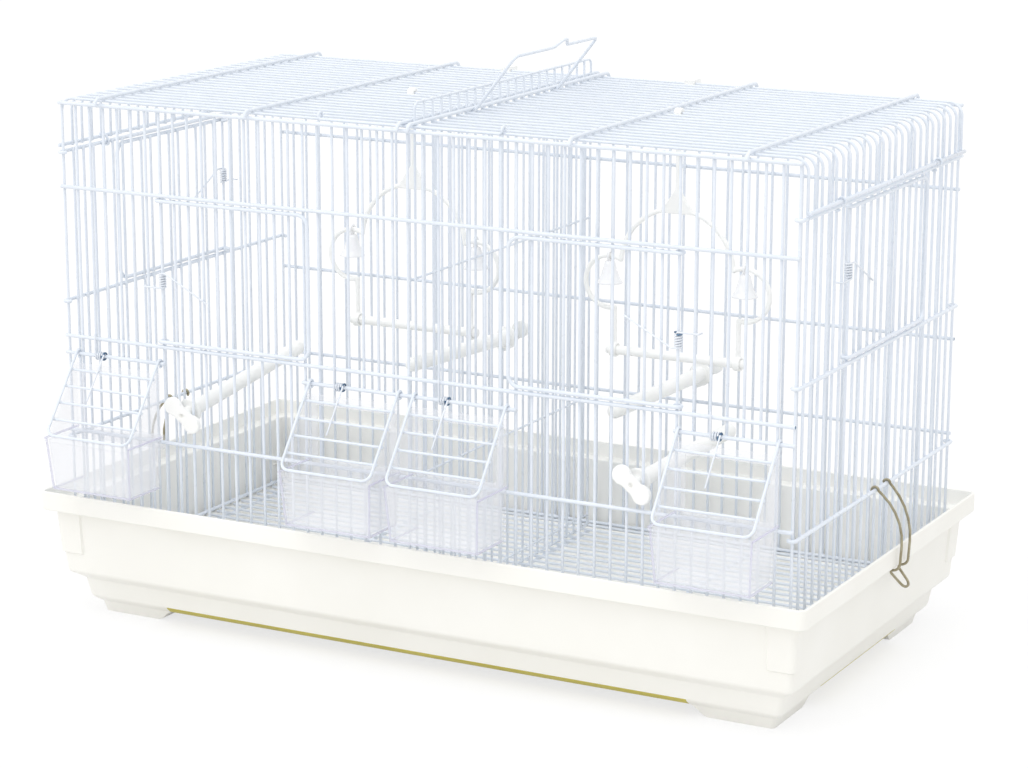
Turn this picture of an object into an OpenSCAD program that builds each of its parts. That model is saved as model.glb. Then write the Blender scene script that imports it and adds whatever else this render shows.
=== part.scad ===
// Flight bird cage: wire walls and roof on a moulded tray, with doors, feeders, swings and a divider

/* [Wire body] */
// How far the side walls' uprights stand in from the tray's rim
side_in = 17.5; // [17:0.1:18]
// How far the front and back walls' uprights stand in from the tray's rim
front_in = 18; // [17.5:0.1:18.5]
// How far the wire body stands back from the tray's middle
cage_set_back = 1.5; // [0:0.5:2]
// Spaces between uprights along the front
front_gaps = 48; // [44:2:52]
// Spaces between uprights along a side
side_gaps = 24; // [22:2:26]
// Thickness of uprights and roof wires
wire_d = 2.0; // [1.6:0.1:2.4]
// Thickness of the rails that tie the uprights
bar_d = 2.6; // [2.2:0.1:3]
// Left between two wires where the weld is
weld_gap = 0.02; // [0.01:0.01:0.05]
// How far rails run on past the last upright
rail_over = 1.4; // [1:0.1:2]
// Front and back top rail height
z_top = 366; // [360:0.5:372]
// Rail above the front doors
z_high = 308; // [300:0.5:316]
// Rail below the front doors
z_mid = 203; // [198:0.5:206]
// Rod that the feeder flaps hang on
z_rod = 191; // [188:0.5:194]
// Rail that the feeder cups hang on
z_low = 135.5; // [132:0.5:138]
// Side walls' top rail height
side_top = 331.5; // [328:0.5:334]
// Rail below the side doors
side_mid = 227; // [222:0.5:232]
// Side rail that the tray clips hang on
side_low = 130; // [127:0.5:133]
// Height of the bottom rails above the tray's ledge
bottom_rail_up = 3; // [2:0.1:5]
// Bottom rails stop this short of the corners
bottom_rail_short = 7; // [5:0.5:12]

/* [Tray] */
// Width over the rim
rim_w = 582; // [562:1:622]
// Depth over the rim
rim_d = 314; // [300:1:340]
// Height of the rim's top
tray_h = 92; // [86:1:100]
// Height of the rim's band
rim_h = 13.5; // [10:0.5:18]
// Corner radius of the rim in plan
rim_r = 6; // [5:0.5:12]
// Corner radius of the inside in plan
inner_r = 3; // [2:0.5:4]
// Wall thickness
tray_t = 2.2; // [1.8:0.1:3]
// How far the wall stands in from the rim's band just below it
wall_in = 9; // [7:0.5:11]
// How far the upper wall stands in at its foot
shoulder_in = 12.5; // [11:0.5:13]
// Height of the upper wall's foot
shoulder_z = 32; // [30:0.5:34]
// How far the lower wall stands in at its top
lower_in = 21.5; // [20:0.5:24]
// Height of the lower wall's top
lower_z = 26; // [24:0.5:28]
// How far the lower wall stands in at its foot
heel_in = 24; // [23.5:0.5:27]
// Height at which the lower wall turns under
heel_z = 12; // [10:0.5:14]
// How far in the flat underside begins
under_in = 30; // [28:0.5:34]
// Height of the corner feet
foot_h = 7.5; // [5:0.5:10]
// Foot length along each side at the table
foot_l = 48; // [36:1:60]
// Extra foot length where it meets the tray
foot_flare = 12; // [6:1:18]
// How much the foot leans in on its outer sides
foot_lean = 2; // [0.5:0.5:4]
// Height of the inner ledge that carries the wire body
ledge_z = 31; // [29:0.5:33]
// Height of the floor inside
floor_z = 10; // [9.5:0.5:12]
// How far the corner pads stand out from the upper wall
pad_out = 1.4; // [0.5:0.1:2]
// Length of a corner pad along each side
pad_l = 30; // [20:1:40]
// Height of a corner pad's lower edge
pad_z = 47; // [42:1:56]
// Thin slice used to build tapered walls
slice = 0.1; // [0.05:0.05:0.2]
// Play under the wires where they stand on the ledge
seat_gap = 0.05; // [0.02:0.01:0.1]

/* [Floor grate] */
// Spaces between the grate's long wires
grate_gaps = 24; // [20:1:28]
// Cross wires under the grate
grate_cross = 5; // [3:1:7]
// Play between the grate and the bottom rails
grate_play = 0.6; // [0.3:0.1:1]
// Play between the cross wires and the tray's lower wall
grate_cross_play = 2; // [1:0.5:4]

/* [Roof] */
// Height of the roof wires above the top rail
roof_up = 2.5; // [2.4:0.1:3]
// How far the first roof wire stands in from the front and back walls
roof_in = 4; // [3.5:0.1:5]
// Spaces between the roof wires
roof_gaps = 24; // [22:2:26]
// Radius of the roof wires' end bends
roof_bend_r = 9; // [7:0.5:12]
// How far the roof's ends stand outside the side walls' uprights
roof_out = 3; // [2.6:0.1:3.6]
// Height of the roof's end rail above the side walls' top rail
end_rail_up = 3.9; // [3.4:0.1:4.4]
// Inner cross rail, as a share of the half width
roof_rail_in_share = 0.44; // [0.4:0.01:0.48]
// Outer cross rail, as a share of the half width
roof_rail_out_share = 0.88; // [0.82:0.01:0.92]
// Slot rails, from the middle
slot_half = 4; // [3.9:0.1:5]
// Reach of the cross rails' end hooks
roof_hook_turn = 90; // [60:5:110]
// Side loops' wire thickness
loop_d = 1.8; // [1.4:0.1:2]
// Play of the loops and clips on the rails
loop_play = 0.1; // [0.05:0.05:0.2]
// Length of a roof clip
clip_l = 7.6; // [6:0.2:8]
// Wall of a roof clip
clip_wall = 1.9; // [1.5:0.1:2.5]
// Clip places from the middle, in spaces between uprights
clip_gap_at = 6.5; // [5.5:1:8.5]
// Half length of the front roof rod
rod_half = 68; // [56:1:80]
// Height of the rod's end hooks above the roof wires
rod_up = 4.4; // [4.2:0.1:6]
// Reach of those hooks below the roof wires' middles
rod_down = 1.2; // [0.5:0.1:3]
// Radius of the rod's bends
rod_r = 2; // [1.8:0.05:2.05]

/* [Doors] */
// Spaces from the corner to a front door's hinge upright
front_hinge_at = 7; // [6:1:8]
// Spaces from a front door's hinge upright to its catch upright
front_door_gaps = 10; // [8:1:11]
// How far a front door's free edge passes its catch upright
front_lap = 4.6; // [3:0.1:6]
// Spaces from the wall's corner to a side door's hinge upright
side_hinge_at = 7; // [6:1:8]
// Spaces from a side door's hinge upright to its catch upright
side_door_gaps = 11; // [9:1:12]
// How far a side door's free edge passes its catch upright
side_lap = 3; // [2.8:0.1:6]
// Radius of a door's free corners
door_r = 8; // [5:0.5:10]
// Play between a closed door and the wall
door_play = 0.4; // [0.3:0.05:0.6]
// Play between a door's edge and the rails above and below it
door_edge_play = 1; // [0.6:0.1:1.6]
// Turn of the hooks that hold a door on its hinge upright
door_hook_turn = 250; // [200:5:270]

/* [Springs] */
// Spring wire thickness
spring_d = 1.2; // [1:0.05:1.3]
// Rise per curl
spring_rise = 1.7; // [1.65:0.05:2]
// Curls of a door spring
spring_turns = 6; // [5:1:7]
// Curls of a flap spring
flap_spring_turns = 4; // [3:1:4]
// Play of a coil on its wire
coil_play = 0.6; // [0.5:0.05:0.8]
// Length of the arm that lies on a door
door_arm = 37; // [30:1:44]
// Straight lead of that arm off the coil
door_arm_lead = 4; // [3.5:0.5:6]
// Fall of that arm past its lead
door_arm_fall = 17.6; // [10:0.1:20]
// How far the short arm passes the next upright
hook_past = 1.6; // [1.4:0.1:2.4]
// Radius of the short arm's hook
hook_r = 2; // [1.6:0.1:2.6]
// Straight end of the short arm's hook
hook_end = 3; // [2:0.5:4]
// Coil place on a door, as a share of its height
door_coil_share = 0.465; // [0.3:0.005:0.7]
// Coil place on a side door, as a share of its height
side_coil_share = 0.567; // [0.3:0.001:0.7]
// Length of the arm that lies on a flap
flap_arm = 36; // [28:1:44]
// How far the other arm passes the rail above
flap_arm_past = 4; // [3:0.5:6]
// Middles of the flap coils, in spaces between uprights from the left
flap_coil_at = [2.5, 19.5, 26.5, 43.5];

/* [Feeders] */
// Spaces that a feeder opening takes
feeder_gaps = 6; // [5:1:6]
// Spaces from the corner to an outer feeder opening
outer_feeder_at = 1; // [1:1:1]
// Outer flaps and cups stand this far out from their opening's middle
outer_shift = 2.5; // [2.4:0.1:3]
// Inner flaps and cups stand this far out from their opening's middle
inner_shift = 5.9; // [5.6:0.1:6]
// Flap length from the rod's middle to its bottom wire
flap_l = 64; // [62:0.5:64.5]
// Lean of a closed flap
flap_lean = 37; // [35:0.5:38]
// Radius of a flap's bottom corners
flap_r = 6; // [4:0.5:9]
// Cross wires of a flap
flap_cross = 4; // [3:1:5]
// Cross wire thickness
flap_cross_d = 1.8; // [1.5:0.1:2]
// Play of a flap's hooks on the rod
flap_play = 0.2; // [0.1:0.05:0.3]
// Turn of a flap's hooks round the rod
flap_hook_turn = 240; // [200:5:260]
// How far a cup passes the flap's side wire
cup_lap = 0.9; // [0.8:0.1:1.4]
// Reach of a cup's front lip from the wall's uprights
cup_reach = 44.5; // [44.4:0.1:47]
// Thickness of the front lip
cup_lip = 1.2; // [0.8:0.1:1.5]
// Height of the front lip
cup_lip_h = 3; // [2:0.5:5]
// Height of a cup's rim above the table
cup_rim_z = 140; // [139:0.1:140.2]
// Height of a cup's underside above the table
cup_floor_z = 102; // [96:0.5:110]
// How much a cup narrows to its foot on each side
cup_taper = 2.4; // [1:0.1:4]
// How much the front comes back at the foot
cup_front_taper = 3.5; // [2:0.1:6]
// Cup wall thickness
cup_t = 1.8; // [1.4:0.1:2.2]
// Play between a cup and the rails
cup_play = 0.4; // [0.3:0.05:0.6]
// Width of a cup's back posts
cup_post = 7; // [5:0.5:9]
// Height of the band across the top of a cup's back
cup_band = 7; // [4:0.5:9]
// Play between the wings and a closed flap
cup_wing_play = 0.6; // [0.4:0.05:0.8]
// Length of the cup's hook behind the rail
cup_hook_down = 8; // [5:0.5:12]
// The hook stops this short of the opening's uprights
cup_hook_short = 2; // [1.5:0.1:4]

/* [Divider] */
// Divider stands this far left of the slot's middle
divider_left = 1.1; // [1:0.05:1.2]
// Divider wire thickness
divider_d = 1.8; // [1.6:0.1:1.8]
// Divider rail thickness
divider_rail_d = 1.6; // [1.4:0.05:1.7]
// Set between its uprights and rails
divider_set = 0.4; // [0.3:0.05:0.5]
// Space from the walls to the divider's edges
divider_in = 12; // [10:0.5:16]
// Spaces between the divider's uprights
divider_gaps = 22; // [20:1:24]
// Height of the comb's top above the roof wires
comb_up = 14; // [10:0.5:20]
// Radius of the comb's corners
comb_r = 4; // [3:0.5:8]
// Divider's upper rail above the table
divider_rail_high = 267; // [255:1:280]
// Divider's middle rail above the table
divider_rail_mid = 133; // [120:1:145]
// Space between its two bottom rails
divider_foot_gap = 8; // [6:0.5:12]
// Play between the divider and the grate
divider_play = 0.4; // [0.2:0.05:0.6]

/* [Carry handle] */
// Handle wire thickness
handle_d = 2.2; // [2:0.1:2.4]
// Length from the rail to the grip
handle_l = 48.8; // [40:0.2:54]
// Lean at rest
handle_lean = 39; // [30:1:45]
// Rise of the grip's middle
hump_up = 6.2; // [4:0.2:7]
// Half length of the grip's raised middle
hump_half = 2.6; // [2.4:0.2:6]
// Half length of the grip's raised middle with its slopes
hump_foot = 9.8; // [9.4:0.2:14]
// Place of the raised middle along the grip
hump_share = 0.535; // [0.45:0.005:0.55]
// Radius of the handle's bends
hump_r = 4; // [3:0.2:4.4]
// Play of the handle's hooks on the rail
handle_play = 0.15; // [0.1:0.05:0.2]
// Turn of the hooks
handle_hook_turn = 190; // [170:5:200]
// Spaces from the front to the first and second hook
handle_at = [6.7, 17.35];

/* [Swings] */
// Space between the left swing and the divider
swing_gap = 4.2; // [3:0.2:8]
// Right swing, as a share of the half width
swing_right_share = 0.467; // [0.46:0.001:0.52]
// Bar thickness of the moulding
swing_d = 3.4; // [3:0.1:4.6]
// Width of the eye on the roof wire
swing_eye_w = 5; // [4:0.2:6]
// Wall of the eye
swing_eye_wall = 2.4; // [1.8:0.1:2.8]
// Play of the eye on the roof wire
swing_play = 0.3; // [0.2:0.05:0.4]
// Height of the arch's top above the table
arch_z = 304; // [298:1:310]
// Height of the gusset above the arch's top
gusset_up = 13; // [8:0.5:18]
// Half width of the gusset at the arch
gusset_half = 13; // [8:0.5:18]
// Thickness of the gusset
gusset_t = 3; // [2:0.2:4]
// Ring middle, from the swing's middle
ring_x = 50; // [46:0.5:52]
// Ring radius
ring_r = 18; // [16:0.5:19]
// Height of the ring's middle
ring_z = 250; // [247:0.5:253]
// Place on the ring where the arch joins it
arch_join = 118; // [112:1:125]
// Arm, from the swing's middle
swing_arm_x = 46; // [42:0.5:49]
// Height of the swing bar's middle
swing_bar_z = 203; // [200:0.5:206]
// Swing bar thickness
swing_bar_d = 6.4; // [5:0.2:8]
// Wall of the arms' eyes
bar_eye_wall = 1.6; // [1.4:0.1:2.4]
// Width of the arms' eyes
bar_eye_w = 5; // [4:0.2:7]
// Play of the bar in its eyes
bar_eye_play = 0.1; // [0.05:0.05:0.2]
// How far the bar passes its eyes
swing_bar_over = 3; // [2:0.5:5]

/* [Bells] */
// Bell height
bell_h = 15.5; // [14:0.5:18]
// Bell radius at the rim
bell_r = 8.8; // [7:0.2:10]
// Bell radius at the waist, as a share of the rim's
bell_waist_share = 0.6; // [0.5:0.05:0.75]
// Bell radius at the crown, as a share of the rim's
bell_crown_share = 0.4; // [0.3:0.05:0.45]
// Height of the waist, as a share of the bell's
bell_waist_up_share = 0.4; // [0.3:0.05:0.6]
// Bell wall
bell_t = 1.2; // [1:0.1:1.6]
// Thickness of the bell's eye
bell_eye_d = 1.8; // [1.5:0.1:2]
// Play of the bell's eye on the ring
bell_play = 0.4; // [0.3:0.05:0.5]
// How far the eye sinks into the crown
bell_sink = 0.5; // [0.3:0.1:0.8]

/* [Perches] */
// Perch thickness
perch_d = 10.5; // [9.5:0.1:12]
// Perch length inside the wall
perch_l = 150; // [120:1:160]
// Neck thickness between the uprights
neck_d = 8.2; // [7:0.1:8.4]
// Play of the neck along the perch on each side of the uprights
neck_play = 1.9; // [1.8:0.1:2.2]
// Radius of the flange inside the wall
flange_r = 8.8; // [8:0.1:10]
// Thickness of that flange
flange_t = 2.6; // [2:0.1:4]
// Claw thickness
claw_t = 4; // [3:0.2:5]
// Claw lobe radius
claw_r = 6.5; // [5:0.2:7]
// Claw lobe middle, from the perch's middle
claw_x = 9; // [7:0.2:10]
// Turn of the claws
claw_turn = -40; // [-45:1:-35]
// Width of the claw's waist
claw_waist = 10; // [8:0.2:12]
// Hole in the claw's middle
claw_hole_d = 3; // [2:0.2:4]
// Depth of that hole
claw_hole_t = 2.5; // [1.5:0.1:3]
// Perch places in spaces from the left: front left, front right, back left, back right
perch_at = [8.5, 38.5, 17.5, 31.5];
// Perch heights where they pass the wall
perch_z = [158, 153, 168, 158];
// Perch slopes
perch_slope = [6.9, 0.5, 3.3, 1.3];

/* [Tray clips] */
// Clip wire thickness
hasp_d = 1.8; // [1.6:0.1:2.2]
// Half the space between a clip's arms at the side rail
hasp_half = 10.5; // [10:0.1:10.8]
// Half the space between its arms at the rim
hasp_low_half = 7.5; // [6:0.1:8]
// Space from the front corner to a clip's middle, in uprights
hasp_at = 12.5; // [9.5:1:13.5]
// Play of a clip's hooks on the side rail
hasp_play = 0.2; // [0.1:0.05:0.3]
// Turn of a clip's hooks
hasp_hook_turn = 230; // [200:5:250]
// How far a clip passes outside the rim
hasp_clear = 4.2; // [4:0.1:5]
// Height above the rim's top where the arms would turn if they were not bowed
hasp_knee = 23.4; // [21:0.2:25]
// Radius of the arms' bow
hasp_bow_r = 42; // [36:1:44]
// How far below the rim's band a clip turns in
hasp_under = 2; // [1.8:0.1:3]
// How far a clip reaches in under the rim
hasp_reach = 9.6; // [8:0.2:10]
// Fall of the part under the rim
hasp_fall = 3; // [2:0.2:4]
// Straight length of an arm above its turn under the rim
hasp_leg = 6; // [5:0.5:8]
// How far the finger tab passes the rim
tab_out = 5.5; // [3:0.5:9]
// Fall of the finger tab
tab_down = 9; // [6:0.5:12]
// Half width of the finger tab
tab_half = 6; // [5:0.1:6.5]
// Radius of a clip's bends
hasp_r = 2.4; // [2:0.1:3]
// Ball that closes a slanted bend, as a share of the wire
bead_share = 1.03; // [1.02:0.01:1.06]

/* [Hidden] */
$fn = 32;
white_wire = [0.93, 0.94, 0.95];
ivory = [0.93, 0.91, 0.86];
clear_cup = [0.85, 0.86, 0.93];
warm_white = [0.94, 0.93, 0.90];
bronze = [0.60, 0.50, 0.38];

cage_w = rim_w - 2 * side_in;
cage_d = rim_d - 2 * front_in;
pitch_f = cage_w / front_gaps;
pitch_s = cage_d / side_gaps;
mid_i = front_gaps / 2;
tray_y = (cup_reach + cage_d / 2 - cage_set_back - rim_d / 2) / 2;
cage_y = tray_y + cage_set_back;
y_front = cage_y - cage_d / 2;
y_back = cage_y + cage_d / 2;
x_side = cage_w / 2;
roof_rail_in = x_side * roof_rail_in_share;
roof_rail_out = x_side * roof_rail_out_share;
lay = (wire_d + bar_d) / 2 + weld_gap;
foot_z = ledge_z + seat_gap;
bottom_z = ledge_z + bottom_rail_up;
z_roof = z_top + roof_up;
z_cross = z_roof + lay;
pitch_r = (cage_d - 2 * roof_in) / roof_gaps;
x_roof = x_side + roof_out;
x_end_rail = x_roof + lay;
z_end_rail = side_top + end_rail_up;
front_catch_at = front_hinge_at + front_door_gaps;
side_catch_at = side_hinge_at + side_door_gaps;
door_lay = (wire_d + bar_d) / 2 + door_play;
front_door_low = z_mid + bar_d + door_edge_play;
front_door_high = z_high - bar_d - door_edge_play;
side_door_low = side_mid + bar_d + door_edge_play;
side_door_high = side_top - bar_d - door_edge_play;
flap_half = feeder_gaps * pitch_f / 2;
flap_lay = (bar_d + wire_d) / 2 + flap_play;
rod_y_front = y_front - lay;
outer_x = x_side - (outer_feeder_at + feeder_gaps / 2) * pitch_f + outer_shift;
inner_x = feeder_gaps / 2 * pitch_f + inner_shift;
feeder_x = [-outer_x, -inner_x, inner_x, outer_x];
feeder_shift = [-outer_shift, -inner_shift, inner_shift, outer_shift];
cup_w = 2 * (flap_half + cup_lap);
cup_back = lay + bar_d / 2 + cup_play;
swing_reach = ring_x + ring_r + swing_d / 2;
swing_x = [-divider_left - (divider_d + divider_set) / 2 - swing_gap - swing_reach, x_side * swing_right_share];
swing_half = [-1, 1];
arch_x = ring_x + ring_r * cos(arch_join);
arch_up = arch_z - ring_z - ring_r * sin(arch_join);
arch_r = (arch_x * arch_x + arch_up * arch_up) / (2 * arch_up);
arch_turn = asin(arch_x / arch_r);
arm_turn = acos((ring_x - swing_arm_x) / ring_r);
bell_eye_r = (swing_d + bell_eye_d) / 2 + bell_play;

function wx(i) = -x_side + i * pitch_f;
function wy(j) = y_front + j * pitch_s;
function ry(k) = y_front + roof_in + k * pitch_r;
function unit(v) = v / norm(v);
function from_edge(i) = min(i, front_gaps - i);
function in_door(i) = from_edge(i) > front_hinge_at && from_edge(i) < front_catch_at;
function in_feeder(i) =
    (from_edge(i) > outer_feeder_at && from_edge(i) < outer_feeder_at + feeder_gaps)
    || (i != mid_i && abs(i - mid_i) < feeder_gaps);
function in_side_door(j) = j > side_hinge_at && j < side_catch_at;

// Straight wires along one axis
module wire_x(x0, x1, y, z, d) {
    translate([x0, y, z]) rotate([0, 90, 0]) cylinder(d = d, h = x1 - x0);
}
module wire_y(y0, y1, x, z, d) {
    translate([x, y0, z]) rotate([-90, 0, 0]) cylinder(d = d, h = y1 - y0);
}
module wire_z(z0, z1, x, y, d) {
    translate([x, y, z0]) cylinder(d = d, h = z1 - z0);
}

// Part of a ring in the XY plane, from angle a through turn t
module arc(r, d, a, t) {
    rotate([0, 0, a]) rotate_extrude(angle = t) translate([r, 0]) circle(d = d);
}

// Bent wire through a list of points; beads close bends that are not square
module straight(p, q, d) {
    v = q - p;
    translate(p) rotate([0, acos(v[2] / norm(v)), atan2(v[1], v[0])]) cylinder(d = d, h = norm(v));
}
module corner(p, a, b, r, d) {
    half = acos(a * b) / 2;
    c = p + unit(a + b) * r / sin(half);
    e1 = unit(p + a * r / tan(half) - c);
    e3 = unit(cross(e1, -a));
    e2 = cross(e3, e1);
    multmatrix([[e1[0], e2[0], e3[0], c[0]], [e1[1], e2[1], e3[1], c[1]],
        [e1[2], e2[2], e3[2], c[2]], [0, 0, 0, 1]])
        rotate_extrude(angle = 180 - 2 * half) translate([r, 0]) circle(d = d);
}
module bent_wire(pts, r, d, bead) {
    n = len(pts);
    dirs = [for (i = [0:n - 2]) unit(pts[i + 1] - pts[i])];
    cut = [for (i = [0:n - 1]) i == 0 || i == n - 1 ? 0 : r / tan(acos(-dirs[i - 1] * dirs[i]) / 2)];
    for (i = [0:n - 2]) straight(pts[i] + dirs[i] * cut[i], pts[i + 1] - dirs[i] * cut[i + 1], d);
    for (i = [1:n - 2]) {
        corner(pts[i], -dirs[i - 1], dirs[i], r, d);
        if (bead > 0) {
            translate(pts[i] - dirs[i - 1] * cut[i]) sphere(d = d * bead);
            translate(pts[i] + dirs[i] * cut[i]) sphere(d = d * bead);
        }
    }
}

// One unbroken wound wire along the Z axis: arm, curls, arm, as rings of six points
spring_rings = 8;
spring_sides = 6;
function curl(r, a) = [r * cos(a), r * sin(a), spring_rise * a / 360];
function wound(r, turn) = [for (i = [0:ceil(turn * spring_rings / 360)])
    curl(r, turn * i / ceil(turn * spring_rings / 360))];
function ring_at(p, t, d) =
    let (e1 = unit(cross(t, [0, 0, 1])), e2 = cross(e1, t))
    [for (k = [0:spring_sides - 1])
        p + d / 2 * (cos(360 * k / spring_sides) * e1 + sin(360 * k / spring_sides) * e2)];
function along(p, i) = unit(
    i == 0 ? p[1] - p[0] : i == len(p) - 1 ? p[i] - p[i - 1] :
    unit(p[i + 1] - p[i]) + unit(p[i] - p[i - 1]));
function own_gap(p, d) = min([for (i = [0:len(p) - 1])
    for (j = [i + spring_rings - 2:1:len(p) - 1]) if (j < len(p)) norm(p[i] - p[j])]) - d;
module tube(p, d) {
    n = len(p);
    s = spring_sides;
    polyhedron(
        points = [for (i = [0:n - 1]) for (q = ring_at(p[i], along(p, i), d)) q],
        faces = concat(
            [[for (k = [0:s - 1]) k]],
            [for (i = [0:n - 2]) for (k = [0:s - 1])
                [i * s + k, (i + 1) * s + k, (i + 1) * s + (k + 1) % s]],
            [for (i = [0:n - 2]) for (k = [0:s - 1])
                [i * s + k, (i + 1) * s + (k + 1) % s, i * s + (k + 1) % s]],
            [[for (k = [s - 1:-1:0]) (n - 1) * s + k]]));
}

// Tray
module tray_level(inset, z, r) {
    for (sx = [-1, 1])
        for (sy = [-1, 1])
            translate([sx * (rim_w / 2 - inset - r), tray_y + sy * (rim_d / 2 - inset - r), z])
                cylinder(r = r, h = slice);
}
module foot(sx, sy) {
    x0 = rim_w / 2 - under_in;
    y0 = rim_d / 2 - under_in;
    top = foot_h + slice;
    translate([0, tray_y, 0]) scale_side(sx, sy) intersection() {
        translate([0, y0, 0]) rotate([90, 0, 0]) linear_extrude(foot_l + foot_flare)
            polygon([[x0 - foot_lean, 0], [x0, top], [x0 - foot_l - foot_flare, top], [x0 - foot_l, 0]]);
        translate([x0 - foot_l - foot_flare, 0, 0]) rotate([90, 0, 90]) linear_extrude(foot_l + foot_flare)
            polygon([[y0 - foot_lean, 0], [y0, top], [y0 - foot_l - foot_flare, top], [y0 - foot_l, 0]]);
    }
}
module scale_side(sx, sy) {
    mirror([sx < 0 ? 1 : 0, 0, 0]) mirror([0, sy < 0 ? 1 : 0, 0]) children();
}
module pad_corner(sx, sy) {
    translate([sx * (rim_w - pad_l) / 2, tray_y + sy * (rim_d - pad_l) / 2, tray_h / 2])
        cube([pad_l, pad_l, tray_h], center = true);
}
module base_tray() color(ivory) {
    step_z = tray_h - rim_h;
    difference() {
        union() {
            hull() {
                tray_level(0, tray_h - slice, rim_r);
                tray_level(0, step_z, rim_r);
            }
            hull() {
                tray_level(wall_in, step_z, rim_r - tray_t);
                tray_level(shoulder_in, shoulder_z, rim_r - tray_t);
                tray_level(lower_in, lower_z, rim_r - tray_t);
            }
            hull() {
                tray_level(lower_in, lower_z, rim_r - tray_t);
                tray_level(heel_in, heel_z, rim_r - tray_t);
                tray_level(under_in, foot_h, rim_r - tray_t);
            }
            intersection() {
                hull() {
                    tray_level(wall_in - pad_out, step_z, rim_r - tray_t);
                    tray_level(wall_in - pad_out + tray_t, pad_z, rim_r - tray_t);
                }
                for (sx = [-1, 1]) for (sy = [-1, 1]) pad_corner(sx, sy);
            }
            for (sx = [-1, 1]) for (sy = [-1, 1]) foot(sx, sy);
        }
        hull() {
            tray_level(tray_t, tray_h, rim_r - tray_t);
            tray_level(tray_t, step_z + tray_t, rim_r - tray_t);
        }
        hull() {
            tray_level(wall_in + tray_t, step_z + tray_t, inner_r);
            tray_level(shoulder_in + tray_t, ledge_z, inner_r);
        }
        hull() {
            tray_level(lower_in + tray_t, ledge_z, inner_r);
            tray_level(heel_in + tray_t, heel_z + floor_z - foot_h, inner_r);
            tray_level(under_in + tray_t, floor_z, inner_r);
        }
    }
}

// Floor grate on the ledge
grate_x = x_side - lay - bar_d / 2 - grate_play;
grate_y0 = y_front + lay + bar_d / 2 + grate_play + wire_d / 2;
grate_y1 = y_back - lay - bar_d / 2 - grate_play - wire_d / 2;
grate_z = foot_z + wire_d / 2;
module floor_grate() color(white_wire) {
    for (k = [0:grate_gaps])
        wire_x(-grate_x, grate_x, grate_y0 + (grate_y1 - grate_y0) * k / grate_gaps, grate_z, wire_d);
    for (k = [0:grate_cross - 1])
        wire_y(tray_y - rim_d / 2 + heel_in + tray_t + grate_cross_play,
            tray_y + rim_d / 2 - heel_in - tray_t - grate_cross_play,
            (rim_w / 2 - heel_in - tray_t - grate_cross_play - bar_d) * (2 * k / (grate_cross - 1) - 1),
            grate_z - lay, bar_d);
}

// Front and back walls
module rail_front(y, z) {
    wire_x(-x_side - rail_over, x_side + rail_over, y, z, bar_d);
}
module front_upright(i) {
    top = z_top + bar_d / 2;
    if (in_feeder(i)) {
        wire_z(foot_z, z_low + bar_d / 2, wx(i), y_front, wire_d);
        wire_z(z_rod - bar_d / 2, top, wx(i), y_front, wire_d);
    } else if (in_door(i)) {
        wire_z(foot_z, z_mid + bar_d / 2, wx(i), y_front, wire_d);
        wire_z(z_high - bar_d / 2, top, wx(i), y_front, wire_d);
    } else {
        wire_z(foot_z, top, wx(i), y_front, wire_d);
    }
}
module front_panel() color(white_wire) {
    for (i = [0:front_gaps]) front_upright(i);
    for (z = [z_top, z_high, z_mid, z_low]) rail_front(y_front - lay, z);
    wire_x(-x_side - rail_over, wx(front_hinge_at) + rail_over, rod_y_front, z_rod, bar_d);
    wire_x(wx(front_catch_at) - rail_over, -wx(front_catch_at) + rail_over, rod_y_front, z_rod, bar_d);
    wire_x(-wx(front_hinge_at) - rail_over, x_side + rail_over, rod_y_front, z_rod, bar_d);
    wire_x(-x_side + bottom_rail_short, x_side - bottom_rail_short, y_front + lay, bottom_z, bar_d);
}
module back_panel() color(white_wire) {
    for (i = [0:front_gaps]) wire_z(foot_z, z_top + bar_d / 2, wx(i), y_back, wire_d);
    for (z = [z_top, z_high, z_mid, z_low]) rail_front(y_back + lay, z);
    wire_x(-x_side + bottom_rail_short, x_side - bottom_rail_short, y_back - lay, bottom_z, bar_d);
}

// Side walls: the right one as it stands, the left one turned half round
module half_turn() {
    translate([0, 2 * cage_y, 0]) rotate([0, 0, 180]) children();
}
module side_rail(z) {
    union() {
        wire_y(y_front, y_back, x_side + lay, z, bar_d);
        translate([x_side, y_front, z]) arc(lay, bar_d, 180, 180);
        translate([x_side, y_back, z]) arc(lay, bar_d, 0, 180);
    }
}
module side_wall() {
    for (j = [1:side_gaps - 1])
        wire_z(foot_z, (in_side_door(j) ? side_mid : side_top) + bar_d / 2, x_side, wy(j), wire_d);
    for (z = [side_top, side_mid, side_low]) side_rail(z);
    wire_y(y_front + bottom_rail_short, y_back - bottom_rail_short, x_side - lay, bottom_z, bar_d);
}
module right_panel() color(white_wire) side_wall();
module left_panel() color(white_wire) half_turn() side_wall();

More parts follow.
